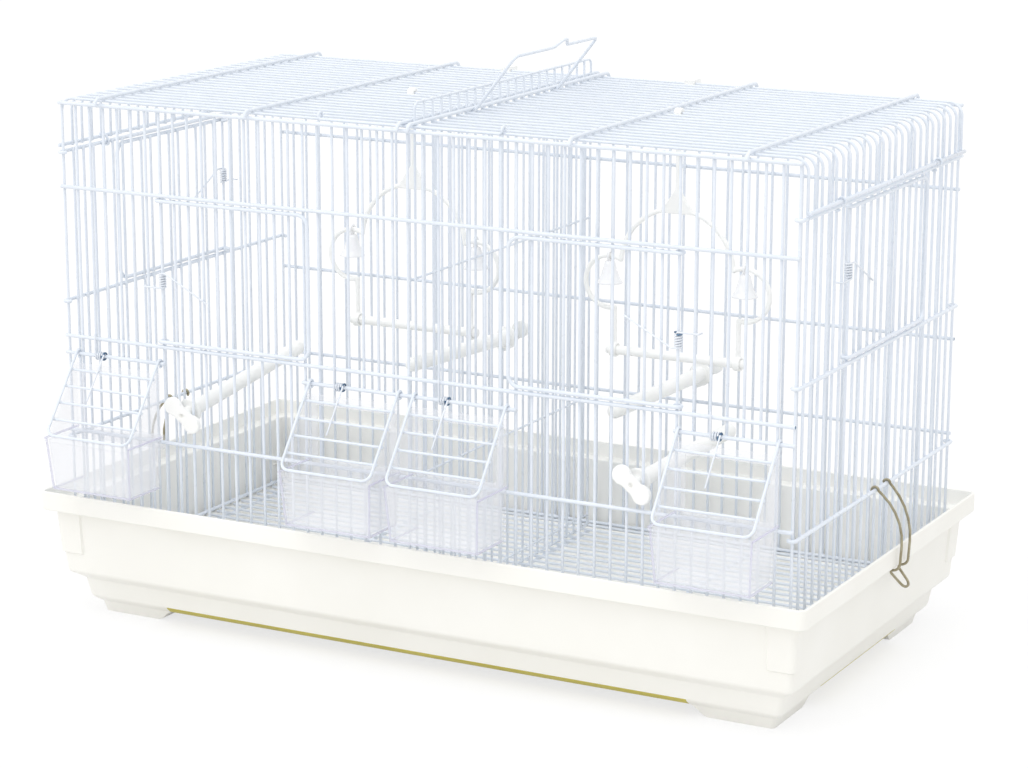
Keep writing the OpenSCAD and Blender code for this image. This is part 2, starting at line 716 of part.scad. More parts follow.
// Roof: bent wires in two halves, joined by the first and last wires
module roof_end(y) {
    translate([x_roof - roof_bend_r, y, z_roof - roof_bend_r])
        rotate([90, 0, 0]) arc(roof_bend_r, wire_d, 0, 90);
    wire_z(z_end_rail - bar_d / 2, z_roof - roof_bend_r - weld_gap, x_roof, y, wire_d);
}
module roof_wire(y) {
    wire_x(slot_half - bar_d / 2, x_roof - roof_bend_r - weld_gap, y, z_roof, wire_d);
    roof_end(y);
}
module cross_rail(x) {
    r = z_cross - z_top;
    union() {
        wire_y(y_front - lay, y_back + lay, x, z_cross, bar_d);
        translate([x, y_front - lay, z_top]) rotate([90, 0, -90]) arc(r, bar_d, 0, roof_hook_turn);
        translate([x, y_back + lay, z_top]) rotate([90, 0, 90]) arc(r, bar_d, 0, roof_hook_turn);
    }
}
module roof_panel() color(white_wire) {
    for (s = [0, 180])
        translate([0, cage_y, 0]) rotate([0, 0, s]) translate([0, -cage_y, 0]) {
            for (k = [1:roof_gaps - 1]) roof_wire(ry(k));
            for (k = [0, roof_gaps]) roof_end(ry(k));
            wire_y(ry(0) - wire_d, ry(roof_gaps) + wire_d, x_end_rail, z_end_rail, bar_d);
        }
    for (k = [0, roof_gaps])
        wire_x(-x_roof + roof_bend_r + weld_gap, x_roof - roof_bend_r - weld_gap, ry(k), z_roof, wire_d);
    for (x = [slot_half, roof_rail_in, roof_rail_out]) {
        cross_rail(x);
        cross_rail(-x);
    }
}

// Loops that tie the roof's end rails to the side walls
module side_loop(y) {
    dx = x_end_rail - x_side - lay;
    dz = z_end_rail - side_top;
    s = norm([dx, dz]);
    r = (bar_d + loop_d) / 2 + loop_play;
    translate([x_side + lay, y, side_top]) rotate([90, 0, 0]) rotate([0, 0, atan2(dz, dx)]) {
        arc(r, loop_d, 90, 180);
        translate([s, 0, 0]) arc(r, loop_d, -90, 180);
        wire_x(0, s, r, 0, loop_d);
    }
}
loop_at_share = 0.1925;
module roof_hooks() color(white_wire) {
    for (y = [y_front + cage_d * loop_at_share, y_back - cage_d * loop_at_share]) {
        side_loop(y);
        half_turn() side_loop(y);
    }
}

// Clips that tie the roof's back edge wire to the back top rail
module roof_clip(x) {
    y0 = y_front - lay;
    y1 = ry(0);
    translate([x - clip_l / 2, 0, 0]) difference() {
        translate([0, y0 - bar_d / 2 - clip_wall, z_top - bar_d / 2 - clip_wall])
            cube([clip_l, y1 - y0 + (bar_d + wire_d) / 2 + 2 * clip_wall,
                roof_up + (bar_d + wire_d) / 2 + 2 * clip_wall]);
        wire_x(-slice, clip_l + slice, y0, z_top, bar_d + 2 * loop_play);
        wire_x(-slice, clip_l + slice, y1, z_roof, wire_d + 2 * loop_play);
    }
}
module roof_clips() color(warm_white) {
    for (s = [-1, 1]) half_turn() roof_clip(s * clip_gap_at * pitch_f);
}

// Rod under the slot rails at the front, hooked over the roof's front edge wire at both ends
module roof_rod() color(white_wire) {
    y0 = ry(0) - wire_d - loop_play;
    y1 = ry(0) + wire_d + loop_play;
    bent_wire([[-rod_half, y1, z_roof - rod_down], [-rod_half, y1, z_roof + rod_up], [-rod_half, y0, z_roof + rod_up],
        [-rod_half, y0, z_roof], [rod_half, y0, z_roof], [rod_half, y0, z_roof + rod_up],
        [rod_half, y1, z_roof + rod_up], [rod_half, y1, z_roof - rod_down]], rod_r, wire_d, 0);
}

// Divider grid with its comb above the roof
divider_foot = grate_z + wire_d / 2 + divider_play;
module divider() color(white_wire) {
    xu = -divider_left + divider_set / 2;
    xr = -divider_left - divider_set / 2;
    y0 = y_front + divider_in;
    y1 = y_back - divider_in;
    top = z_roof + comb_up;
    union() {
        wire_z(divider_foot, top - comb_r, xr, y0, divider_d);
        wire_z(divider_foot, top - comb_r, xr, y1, divider_d);
        wire_y(y0 + comb_r, y1 - comb_r, xr, top, divider_d);
        translate([xr, y0 + comb_r, top - comb_r]) rotate([90, 0, 90]) arc(comb_r, divider_d, 90, 90);
        translate([xr, y1 - comb_r, top - comb_r]) rotate([90, 0, 90]) arc(comb_r, divider_d, 0, 90);
        for (k = [1:divider_gaps - 1])
            wire_z(divider_foot, top, xu, y0 + (y1 - y0) * k / divider_gaps, divider_d);
        for (z = [divider_foot + divider_d / 2, divider_foot + divider_d / 2 + divider_foot_gap,
            divider_rail_mid, divider_rail_high])
            wire_y(y0, y1, xr, z, divider_rail_d);
    }
}

// Carry handle on the right slot rail
handle_lay = (bar_d + handle_d) / 2 + handle_play;
module carry_handle() color(white_wire) {
    y0 = ry(handle_at[0]);
    y1 = ry(handle_at[1]);
    ym = y0 + (y1 - y0) * hump_share;
    translate([slot_half, 0, z_cross]) rotate([0, handle_lean, 0]) {
        bent_wire([[handle_lay, y0, 0], [handle_lay, y0, handle_l], [handle_lay, ym - hump_foot, handle_l],
            [handle_lay, ym - hump_half, handle_l + hump_up], [handle_lay, ym + hump_half, handle_l + hump_up],
            [handle_lay, ym + hump_foot, handle_l], [handle_lay, y1, handle_l], [handle_lay, y1, 0]],
            hump_r, handle_d, bead_share);
        for (y = [y0, y1])
            translate([0, y, 0]) rotate([90, 0, 0]) mirror([0, 1, 0]) arc(handle_lay, handle_d, 0, handle_hook_turn);
    }
}

// A door on its hinge upright: hinge on the Z axis, leaf along +X, outside towards -Y
module door(gaps, pitch, lap, low, high) {
    w = gaps * pitch + lap;
    union() {
        bent_wire([[0, -door_lay, low], [w, -door_lay, low], [w, -door_lay, high], [0, -door_lay, high]],
            door_r, bar_d, 0);
        for (z = [low, high])
            translate([0, 0, z]) mirror([1, 0, 0]) arc(door_lay, bar_d, -90, door_hook_turn);
    }
    for (k = [1:gaps - 1])
        wire_z(low - bar_d / 2, high + bar_d / 2, k * pitch, lay - door_lay, wire_d);
}
coil_r = (wire_d + spring_d) / 2 + coil_play;
function hook_path(pitch) =
    let (x1 = -pitch - hook_past, y = -coil_r)
    concat([[x1 - hook_r, y + hook_r + hook_end, 0]],
        [for (a = [180:30:270]) [x1 + hook_r * cos(a), y + hook_r + hook_r * sin(a), 0]]);
function door_spring_path(pitch) =
    let (turn = 360 * spring_turns, top = spring_rise * spring_turns)
    concat(hook_path(pitch),
        [for (q = wound(coil_r, turn)) [q[1], -q[0], q[2]]],
        [[door_arm_lead, -coil_r, top], [door_arm, -coil_r, top - door_arm_fall]]);
echo(front_spring_gap = own_gap(door_spring_path(pitch_f), spring_d));
echo(side_spring_gap = own_gap(door_spring_path(pitch_s), spring_d));
module door_spring(pitch) {
    translate([0, 0, -spring_rise * spring_turns / 2]) tube(door_spring_path(pitch), spring_d);
}
module at_front_left() {
    translate([wx(front_hinge_at), y_front, 0]) children();
}
module at_right_side() {
    translate([x_side, wy(side_hinge_at), 0]) rotate([0, 0, 90]) children();
}
module front_leaf() {
    at_front_left() door(front_door_gaps, pitch_f, front_lap, front_door_low, front_door_high);
}
module side_leaf() {
    at_right_side() door(side_door_gaps, pitch_s, side_lap, side_door_low, side_door_high);
}
front_coil_z = z_mid + (z_high - z_mid) * door_coil_share - bar_d;
side_coil_z = side_mid + (side_top - side_mid) * side_coil_share;
module front_door_left() color(white_wire) front_leaf();
module front_door_right() color(white_wire) mirror([1, 0, 0]) front_leaf();
module side_door_right() color(white_wire) side_leaf();
module side_door_left() color(white_wire) half_turn() side_leaf();
module front_door_spring_left() color(white_wire)
    at_front_left() translate([0, 0, front_coil_z]) door_spring(pitch_f);
module front_door_spring_right() color(white_wire)
    mirror([1, 0, 0]) at_front_left() translate([0, 0, front_coil_z]) mirror([0, 0, 1]) door_spring(pitch_f);
module side_spring()
    at_right_side() translate([0, 0, side_coil_z]) door_spring(pitch_s);
module side_door_spring_right() color(white_wire) side_spring();
module side_door_spring_left() color(white_wire) half_turn() side_spring();

// Feeder flaps, hung straight down and then leaned out
module flap(n) {
    side = [for (s = [-1, 1]) s * flap_half];
    translate([feeder_x[n], rod_y_front, z_rod]) rotate([-flap_lean, 0, 0]) {
        union() {
            bent_wire([[side[0], -flap_lay, 0], [side[0], -flap_lay, -flap_l], [side[1], -flap_lay, -flap_l],
                [side[1], -flap_lay, 0]], flap_r, wire_d, 0);
            for (x = side)
                translate([x, 0, 0]) rotate([0, 90, 0]) mirror([1, 0, 0])
                    arc(flap_lay, wire_d, -90, flap_hook_turn);
        }
        for (k = [1:flap_cross])
            wire_x(side[0] - wire_d / 2, side[1] + wire_d / 2,
                -flap_lay + (wire_d + flap_cross_d) / 2 + weld_gap, -flap_l * k / (flap_cross + 1), flap_cross_d);
    }
}
flap_coil_r = (bar_d + spring_d) / 2 + coil_play;
flap_arm_up = z_mid - z_rod + flap_arm_past;
flap_turn = 360 * flap_spring_turns - flap_lean;
function flap_spring_path() =
    concat([[flap_coil_r, -flap_arm_up, 0]], wound(flap_coil_r, flap_turn),
        [curl(flap_coil_r, flap_turn) + flap_arm * [-sin(flap_turn), cos(flap_turn), 0]]);
echo(flap_spring_gap = own_gap(flap_spring_path(), spring_d));
module flap_spring(n) {
    x = wx(flap_coil_at[n]) - spring_rise * flap_spring_turns / 2;
    multmatrix([[0, 0, 1, x], [-1, 0, 0, rod_y_front], [0, -1, 0, z_rod], [0, 0, 0, 1]])
        tube(flap_spring_path(), spring_d);
}
module feeder_flap_1() color(white_wire) flap(0);
module feeder_flap_2() color(white_wire) flap(1);
module feeder_flap_3() color(white_wire) flap(2);
module feeder_flap_4() color(white_wire) flap(3);
module flap_spring_1() color(white_wire) flap_spring(0);
module flap_spring_2() color(white_wire) flap_spring(1);
module flap_spring_3() color(white_wire) flap_spring(2);
module flap_spring_4() color(white_wire) flap_spring(3);

// Feeder cups: tapered box, back frame, wings under the flap, hook over the low rail
wing_off = flap_lay - wire_d / 2 - flap_cross_d - cup_wing_play;
wing_top = z_rod - cos(flap_lean) * (cup_back + cup_t - lay) / sin(flap_lean) + wing_off / sin(flap_lean);
wing_foot = lay + (z_rod - cup_rim_z) * sin(flap_lean) / cos(flap_lean) + wing_off / cos(flap_lean);
cup_front = cup_reach - cup_lip;
module cup_block(inset, low, high) {
    intersection() {
        translate([-cup_w / 2, 0, 0]) rotate([90, 0, 90]) linear_extrude(cup_w)
            polygon([[-cup_back - inset, low], [-cup_front + cup_front_taper + inset, low],
                [-cup_front + inset, high], [-cup_back - inset, high]]);
        translate([0, -cup_back, 0]) rotate([90, 0, 0]) linear_extrude(cup_reach)
            polygon([[-cup_w / 2 + cup_taper + inset, low], [cup_w / 2 - cup_taper - inset, low],
                [cup_w / 2 - inset, high], [-cup_w / 2 + inset, high]]);
    }
}
module cup(n) {
    hook_y0 = -cup_back - cup_t;
    hook_y1 = wire_d / 2 + cup_play;
    hook_z = z_low + bar_d / 2 + cup_play;
    hook_x0 = -flap_half - feeder_shift[n] + cup_hook_short + wire_d;
    hook_x1 = flap_half - feeder_shift[n] - cup_hook_short - wire_d;
    post_h = wing_top - cup_rim_z;
    translate([feeder_x[n], y_front, 0]) union() {
        difference() {
            cup_block(0, cup_floor_z, cup_rim_z);
            cup_block(cup_t, cup_floor_z + cup_t, cup_rim_z + slice);
        }
        translate([-cup_w / 2, -cup_reach, cup_rim_z - cup_lip_h]) cube([cup_w, cup_lip + cup_t, cup_lip_h]);
        for (s = [0, 1]) mirror([s, 0, 0]) {
            translate([cup_w / 2 - cup_post, hook_y0, cup_rim_z - cup_lip_h])
                cube([cup_post, cup_t, post_h + cup_lip_h]);
            translate([cup_w / 2 - cup_t, 0, 0]) rotate([90, 0, 90]) linear_extrude(cup_t)
                polygon([[-cup_back, cup_rim_z - cup_lip_h], [-cup_back, wing_top], [hook_y0, wing_top],
                    [-wing_foot, cup_rim_z], [-wing_foot, cup_rim_z - cup_lip_h]]);
        }
        translate([-cup_w / 2, hook_y0, wing_top - cup_band]) cube([cup_w, cup_t, cup_band]);
        translate([hook_x0, hook_y0, hook_z]) cube([hook_x1 - hook_x0, hook_y1 + cup_t - hook_y0, cup_t]);
        translate([hook_x0, hook_y1, hook_z - cup_hook_down])
            cube([hook_x1 - hook_x0, cup_t, cup_hook_down + cup_t]);
    }
}
module feeder_cup_1() color(clear_cup) cup(0);
module feeder_cup_2() color(clear_cup) cup(1);
module feeder_cup_3() color(clear_cup) cup(2);
module feeder_cup_4() color(clear_cup) cup(3);

// Swings on the middle roof wire
swing_eye_r = wire_d / 2 + swing_play;
module swing_half_frame() {
    translate([ring_x, 0, ring_z]) rotate([90, 0, 0])
        arc(ring_r, swing_d, arm_turn - 180, arch_join + 180 - arm_turn);
    wire_z(swing_bar_z, ring_z - ring_r * sin(arm_turn), swing_arm_x, 0, swing_d);
    translate([swing_arm_x - bar_eye_w / 2, 0, swing_bar_z]) rotate([0, 90, 0])
        cylinder(d = swing_bar_d + 2 * bar_eye_play + 2 * bar_eye_wall, h = bar_eye_w);
    translate([arch_x, 0, arch_z - arch_up]) sphere(d = swing_d * bead_share);
    translate([swing_arm_x, 0, ring_z - ring_r * sin(arm_turn)]) sphere(d = swing_d * bead_share);
}
module swing_frame(n) {
    translate([swing_x[n], cage_y, 0]) difference() {
        union() {
            translate([0, 0, arch_z - arch_r]) rotate([90, 0, 0])
                arc(arch_r, swing_d, 90 - arch_turn, 2 * arch_turn);
            swing_half_frame();
            mirror([1, 0, 0]) swing_half_frame();
            translate([0, gusset_t / 2, 0]) rotate([90, 0, 0]) linear_extrude(gusset_t)
                polygon([[-gusset_half, arch_z - gusset_half / 4], [gusset_half, arch_z - gusset_half / 4],
                    [swing_d / 2, arch_z + gusset_up], [-swing_d / 2, arch_z + gusset_up]]);
            wire_z(arch_z, z_roof - swing_eye_r, 0, 0, swing_d);
            translate([-swing_eye_w / 2, 0, z_roof]) rotate([0, 90, 0])
                cylinder(r = swing_eye_r + swing_eye_wall, h = swing_eye_w);
        }
        translate([-swing_eye_w, 0, z_roof]) rotate([0, 90, 0]) cylinder(r = swing_eye_r, h = 2 * swing_eye_w);
        for (s = [-1, 1])
            translate([s * swing_arm_x - bar_eye_w, 0, swing_bar_z]) rotate([0, 90, 0])
                cylinder(d = swing_bar_d + 2 * bar_eye_play, h = 2 * bar_eye_w);
    }
}
module swing_bar(n) {
    half = swing_arm_x + bar_eye_w / 2 + swing_bar_over;
    wire_x(swing_x[n] - half, swing_x[n] + half, cage_y, swing_bar_z, swing_bar_d);
}
module swing_frame_left() color(warm_white) swing_frame(0);
module swing_frame_right() color(warm_white) swing_frame(1);
module swing_bar_left() color(warm_white) swing_bar(0);
module swing_bar_right() color(warm_white) swing_bar(1);

// Bells hung on the rings
module bell(n, s) {
    crown = bell_r * bell_crown_share;
    waist = bell_r * bell_waist_share;
    up = bell_h * bell_waist_up_share;
    translate([swing_x[n] + s * ring_x, cage_y, ring_z + ring_r]) {
        rotate([0, 90, 0]) difference() {
            cylinder(r = bell_eye_r + bell_eye_d / 2, h = bell_eye_d, center = true);
            cylinder(r = bell_eye_r - bell_eye_d / 2, h = 2 * bell_eye_d, center = true);
        }
        translate([0, 0, -bell_eye_r - bell_eye_d / 2 + bell_sink - bell_h]) rotate_extrude()
            polygon([[bell_r, 0], [waist, up], [crown, bell_h], [0, bell_h], [0, bell_h - bell_t],
                [crown - bell_t, bell_h - bell_t], [waist - bell_t, up], [bell_r - bell_t, 0]]);
    }
}
module swing_bell_1() color(warm_white) bell(0, -1);
module swing_bell_2() color(warm_white) bell(0, 1);
module swing_bell_3() color(warm_white) bell(1, -1);
module swing_bell_4() color(warm_white) bell(1, 1);

// Perches with claw heads
module perch(n) {
    neck = wire_d / 2 + neck_play;
    translate([wx(perch_at[n]), n < 2 ? y_front : y_back, perch_z[n]])
        rotate([0, 0, n < 2 ? 0 : 180]) rotate([perch_slope[n], 0, 0]) difference() {
            union() {
                wire_y(-neck - claw_t, neck + slice, 0, 0, neck_d);
                wire_y(neck, perch_l - perch_d / 2, 0, 0, perch_d);
                wire_y(neck, neck + flange_t, 0, 0, 2 * flange_r);
                translate([0, perch_l - perch_d / 2, 0]) sphere(d = perch_d);
                translate([0, -neck, 0]) rotate([90, 0, 0]) rotate([0, 0, claw_turn]) {
                    for (s = [-1, 1]) translate([s * claw_x, 0, 0]) cylinder(r = claw_r, h = claw_t);
                    translate([-claw_x, -claw_waist / 2, 0]) cube([2 * claw_x, claw_waist, claw_t]);
                }
            }
            wire_y(-neck - claw_t - slice, -neck - claw_t + claw_hole_t, 0, 0, claw_hole_d);
        }
}
module perch_1() color(warm_white) perch(0);
module perch_2() color(warm_white) perch(1);
module perch_3() color(warm_white) perch(2);
module perch_4() color(warm_white) perch(3);

// Tray clips: two bowed arms from the side rail, round the rim, with a finger tab
module tray_clip() {
    xh = x_side + lay;
    rh = (bar_d + hasp_d) / 2 + hasp_play;
    xo = rim_w / 2 + hasp_clear;
    zu = tray_h - rim_h - hasp_under;
    xi = xo - hasp_reach;
    zi = zu - hasp_fall;
    xt = rim_w / 2 + tab_out;
    b = hasp_low_half;
    leg = zu + hasp_leg;
    translate([0, wy(hasp_at), 0]) {
        for (s = [-1, 1]) {
            bent_wire([[xh + rh, s * hasp_half, side_low], [xo, s * b, tray_h + hasp_knee], [xo, s * b, leg]],
                hasp_bow_r, hasp_d, bead_share);
            for (p = [[xh + rh, s * hasp_half, side_low], [xo, s * b, leg]])
                translate(p) sphere(d = hasp_d * bead_share);
            translate([xh, s * hasp_half, side_low]) rotate([90, 0, 0]) arc(rh, hasp_d, 0, hasp_hook_turn);
        }
        bent_wire([[xo, -b, leg], [xo, -b, zu], [xi, -b, zi], [xt, -tab_half, zi - tab_down],
            [xt, tab_half, zi - tab_down], [xi, b, zi], [xo, b, zu], [xo, b, leg]], hasp_r, hasp_d, bead_share);
    }
}
module tray_clip_right() color(bronze) tray_clip();
module tray_clip_left() color(bronze) half_turn() tray_clip();

base_tray();
floor_grate();
front_panel();
back_panel();
left_panel();
right_panel();
roof_panel();
divider();
carry_handle();
front_door_left();
front_door_right();
side_door_left();
side_door_right();
front_door_spring_left();
front_door_spring_right();
side_door_spring_left();
side_door_spring_right();
feeder_flap_1();
feeder_flap_2();
feeder_flap_3();
feeder_flap_4();
flap_spring_1();
flap_spring_2();
flap_spring_3();
flap_spring_4();
feeder_cup_1();
feeder_cup_2();
feeder_cup_3();
feeder_cup_4();
swing_frame_left();
swing_frame_right();
swing_bar_left();
swing_bar_right();
swing_bell_1();
swing_bell_2();
swing_bell_3();
swing_bell_4();
perch_1();
perch_2();
perch_3();
perch_4();
tray_clip_left();
tray_clip_right();
roof_hooks();
roof_clips();
roof_rod();
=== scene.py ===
"""Looks of a flight bird cage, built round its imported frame.

Lengths are millimetres until a mesh is made, and angles are degrees.
The stage, the lamps and the camera are in metres.
"""

import math

import bmesh
import bpy
from mathutils import Matrix, Vector


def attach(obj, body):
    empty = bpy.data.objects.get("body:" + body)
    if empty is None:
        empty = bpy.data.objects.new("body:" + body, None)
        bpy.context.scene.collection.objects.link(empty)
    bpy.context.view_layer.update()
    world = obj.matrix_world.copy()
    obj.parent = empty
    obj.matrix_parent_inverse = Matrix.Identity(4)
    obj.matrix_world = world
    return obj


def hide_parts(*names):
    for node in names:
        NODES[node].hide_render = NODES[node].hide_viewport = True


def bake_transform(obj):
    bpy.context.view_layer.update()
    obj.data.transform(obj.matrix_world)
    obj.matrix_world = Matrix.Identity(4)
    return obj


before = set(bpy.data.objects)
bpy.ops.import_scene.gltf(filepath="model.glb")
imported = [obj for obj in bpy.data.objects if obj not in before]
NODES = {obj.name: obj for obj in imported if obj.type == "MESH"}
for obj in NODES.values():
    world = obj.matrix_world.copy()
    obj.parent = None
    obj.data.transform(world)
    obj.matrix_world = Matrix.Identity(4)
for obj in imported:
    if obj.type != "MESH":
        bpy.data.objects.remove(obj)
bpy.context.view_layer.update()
MM = 0.001

# Tray
RIM_W, RIM_D, RIM_H, RIM_R, INNER_R = 582.0, 314.0, 13.5, 6.0, 3.0
TRAY_H, TRAY_T = 92.0, 2.2
WALL_IN, SHOULDER_IN, SHOULDER_Z = 9.0, 12.5, 32.0
LOWER_IN, LOWER_Z, HEEL_IN, HEEL_Z, UNDER_IN = 21.5, 26.0, 24.0, 12.0, 30.0
LEDGE_Z, FLOOR_Z, FLOOR_LAP = 31.0, 10.0, 6.0
HEEL_ROUND, FOLD_ROUND, SHOULDER_ROUND, STEP_ROUND = 2.0, 1.0, 2.2, 1.2
LIP_ROUND, LIP_IN_ROUND, LEDGE_ROUND, TRAY_EASE = 0.9, 0.7, 0.8, 0.5
CORNER_STEPS, FILLET_STEPS = 8, 3
CORNER_POINTS = CORNER_STEPS + 3
PAD_OUT, PAD_L, PAD_Z, PAD_SINK, PAD_EASE, PAD_BITE = 1.4, 30.0, 47.0, 2.8, 1.5, 0.6
FOOT_H, FOOT_L, FOOT_FLARE, FOOT_LEAN = 7.5, 48.0, 12.0, 2.0
FOOT_LEVELS, FOOT_R, FOOT_SINK = 6, 3.0, 0.4
STEP_Z = TRAY_H - RIM_H
FOOT_X = RIM_W / 2 - UNDER_IN - FOOT_L - FOOT_FLARE
FOOT_Y = RIM_D / 2 - UNDER_IN - FOOT_L - FOOT_FLARE

# Wire body
BODY_IN_X, BODY_IN_Y = 35.0, 36.0
CAGE_W, CAGE_D = RIM_W - BODY_IN_X, RIM_D - BODY_IN_Y
CUP_REACH, SET_BACK = 44.5, 1.5
FRONT_GAPS, SIDE_GAPS, ROOF_GAPS, FEEDER_GAPS = 48, 24, 24, 6
WIRE, BAR, WELD_GAP, RAIL_OVER = 2.0, 2.6, 0.02, 1.4
Z_TOP, Z_HIGH, Z_MID, Z_ROD, Z_LOW = 366.0, 308.0, 203.0, 191.0, 135.5
SIDE_TOP, SIDE_MID, SIDE_LOW = 331.5, 227.0, 130.0
RAIL_UP, RAIL_SHORT, SEAT_GAP = 3.0, 7.0, 0.05
TRAY_Y = (CUP_REACH + CAGE_D / 2 - SET_BACK - RIM_D / 2) / 2
CAGE_Y = TRAY_Y + SET_BACK
Y_FRONT, Y_BACK, X_SIDE = CAGE_Y - CAGE_D / 2, CAGE_Y + CAGE_D / 2, CAGE_W / 2
LAY = (WIRE + BAR) / 2 + WELD_GAP
PITCH_F, PITCH_S = CAGE_W / FRONT_GAPS, CAGE_D / SIDE_GAPS
FOOT_Z, BOTTOM_Z = LEDGE_Z + SEAT_GAP, LEDGE_Z + RAIL_UP

# Grate
GRATE_GAPS, GRATE_CROSS, GRATE_PLAY, GRATE_CROSS_PLAY = 24, 5, 0.6, 2.0
GRATE_X = X_SIDE - LAY - BAR / 2 - GRATE_PLAY
GRATE_Y0 = Y_FRONT + LAY + BAR / 2 + GRATE_PLAY + WIRE / 2
GRATE_Y1 = Y_BACK - LAY - BAR / 2 - GRATE_PLAY - WIRE / 2
GRATE_Z = FOOT_Z + WIRE / 2

# Roof
ROOF_UP, ROOF_IN, ROOF_BEND_R, ROOF_OUT, END_RAIL_UP = 2.5, 4.0, 9.0, 3.0, 3.9
SLOT_HALF, RAIL_IN_SHARE, RAIL_OUT_SHARE, ROOF_HOOK_TURN = 4.0, 0.44, 0.88, 90.0
LOOP_D, LOOP_PLAY, LOOP_SHARE = 1.8, 0.1, 0.1925
ROD_HALF, ROD_UP, ROD_DOWN, ROD_R = 68.0, 4.4, 1.2, 2.0
ROOF_CLIP_EASE = 0.5
Z_ROOF = Z_TOP + ROOF_UP
Z_CROSS = Z_ROOF + LAY
PITCH_R = (CAGE_D - 2 * ROOF_IN) / ROOF_GAPS
X_ROOF = X_SIDE + ROOF_OUT
X_END_RAIL, Z_END_RAIL = X_ROOF + LAY, SIDE_TOP + END_RAIL_UP

# Doors and springs
FRONT_HINGE, FRONT_DOOR_GAPS, FRONT_LAP = 7, 10, 4.6
SIDE_HINGE, SIDE_DOOR_GAPS, SIDE_LAP = 7, 11, 3.0
DOOR_R, DOOR_PLAY, DOOR_EDGE, DOOR_HOOK = 8.0, 0.4, 1.0, 250.0
DOOR_LAY = (WIRE + BAR) / 2 + DOOR_PLAY
SPRING_D, SPRING_RISE, SPRING_TURNS, COIL_PLAY = 1.2, 1.7, 6, 0.6
SPRING_SIDES, COIL_STEPS = 10, 20
COIL_R = (WIRE + SPRING_D) / 2 + COIL_PLAY
DOOR_ARM, DOOR_ARM_LEAD, DOOR_ARM_FALL, DOOR_ARM_R = 37.0, 4.0, 17.6, 3.0
HOOK_PAST, HOOK_R, HOOK_END = 1.6, 2.0, 3.0
FRONT_COIL_SHARE, SIDE_COIL_SHARE = 0.465, 0.567
FRONT_COIL_Z = Z_MID + (Z_HIGH - Z_MID) * FRONT_COIL_SHARE - BAR
SIDE_COIL_Z = SIDE_MID + (SIDE_TOP - SIDE_MID) * SIDE_COIL_SHARE
FLAP_TURNS, FLAP_ARM, FLAP_ARM_PAST = 4, 36.0, 4.0
FLAP_COIL_R = (BAR + SPRING_D) / 2 + COIL_PLAY
FLAP_COIL_AT = (2.5, 19.5, 26.5, 43.5)

# Feeders
FLAP_L, FLAP_LEAN, FLAP_R, FLAP_CROSS, FLAP_CROSS_D = 64.0, 37.0, 6.0, 4, 1.8
FLAP_PLAY, FLAP_HOOK = 0.2, 240.0
FLAP_HALF = FEEDER_GAPS * PITCH_F / 2
FLAP_LAY = (BAR + WIRE) / 2 + FLAP_PLAY
ROD_Y = Y_FRONT - LAY
OUTER_SHIFT, INNER_SHIFT = 2.5, 5.9
OUTER_X = X_SIDE - (1 + FEEDER_GAPS / 2) * PITCH_F + OUTER_SHIFT
INNER_X = FEEDER_GAPS / 2 * PITCH_F + INNER_SHIFT
FEEDER_X = (-OUTER_X, -INNER_X, INNER_X, OUTER_X)
CUP_WIDER, CUP_GAP, CUP_RIM_Z, CUP_BEAD, CUP_EASE = 0.9, 0.4, 140.0, 1.5, 0.6
CUP_LIP, CUP_FLOOR_Z, CUP_TAPER, CUP_FRONT_TAPER = 1.2, 102.0, 2.4, 3.5
CUP_HALF, CUP_BACK = FLAP_HALF + CUP_WIDER, LAY + BAR / 2 + CUP_GAP
FACING = 0.8

# Divider and handle
DIVIDER_LEFT, DIVIDER_D, DIVIDER_RAIL_D, DIVIDER_SET = 1.1, 1.8, 1.6, 0.4
DIVIDER_IN, DIVIDER_GAPS, COMB_UP, COMB_R = 12.0, 22, 14.0, 4.0
DIVIDER_RAILS, DIVIDER_FOOT_GAP, DIVIDER_PLAY = (133.0, 267.0), 8.0, 0.4
DIVIDER_WELD = (1.0, 1.45, 1.45)
HANDLE_D, HANDLE_L, HANDLE_LEAN, HANDLE_PLAY, HANDLE_HOOK = 2.2, 48.8, 39.0, 0.15, 190.0
HUMP_UP, HUMP_HALF, HUMP_FOOT, HUMP_SHARE, HUMP_R = 6.2, 2.6, 9.8, 0.535, 4.0
HANDLE_AT, HANDLE_SIDES = (6.7, 17.35), 16

# Swings, bells and perches; a melt is a voxel and a number of smoothing passes
SWING_D, SWING_CLEAR, SWING_SHARE = 3.4, 4.2, 0.467
RING_X, RING_R, RING_Z = 50.0, 18.0, 250.0
SWING_X = (-DIVIDER_LEFT - (DIVIDER_D + DIVIDER_SET) / 2 - SWING_CLEAR - RING_X - RING_R - SWING_D / 2,
           X_SIDE * SWING_SHARE)
SWING_MELT, PERCH_MELT, MELT_FLOW = (0.5, 6), (0.6, 5), 0.5
BAR_EASE, BAR_EASE_STEPS = 0.8, 3
BELL_H, BELL_R, BELL_T, BELL_EYE_D, BELL_PLAY, BELL_SINK = 15.5, 8.8, 1.2, 1.8, 0.4, 0.5
BELL_SIDES, EYE_START, EYE_END = 40, -90, 268
CLAPPER_R, CLAPPER_SHARE, CLAPPER_SIDES, CLAPPER_RINGS = 2.3, 0.20, 16, 10
STEM_D, STEM_TOP, STEM_LOW, STEM_SIDES = 1.1, 0.93, 0.24, 8
LIP_THIN = 0.6
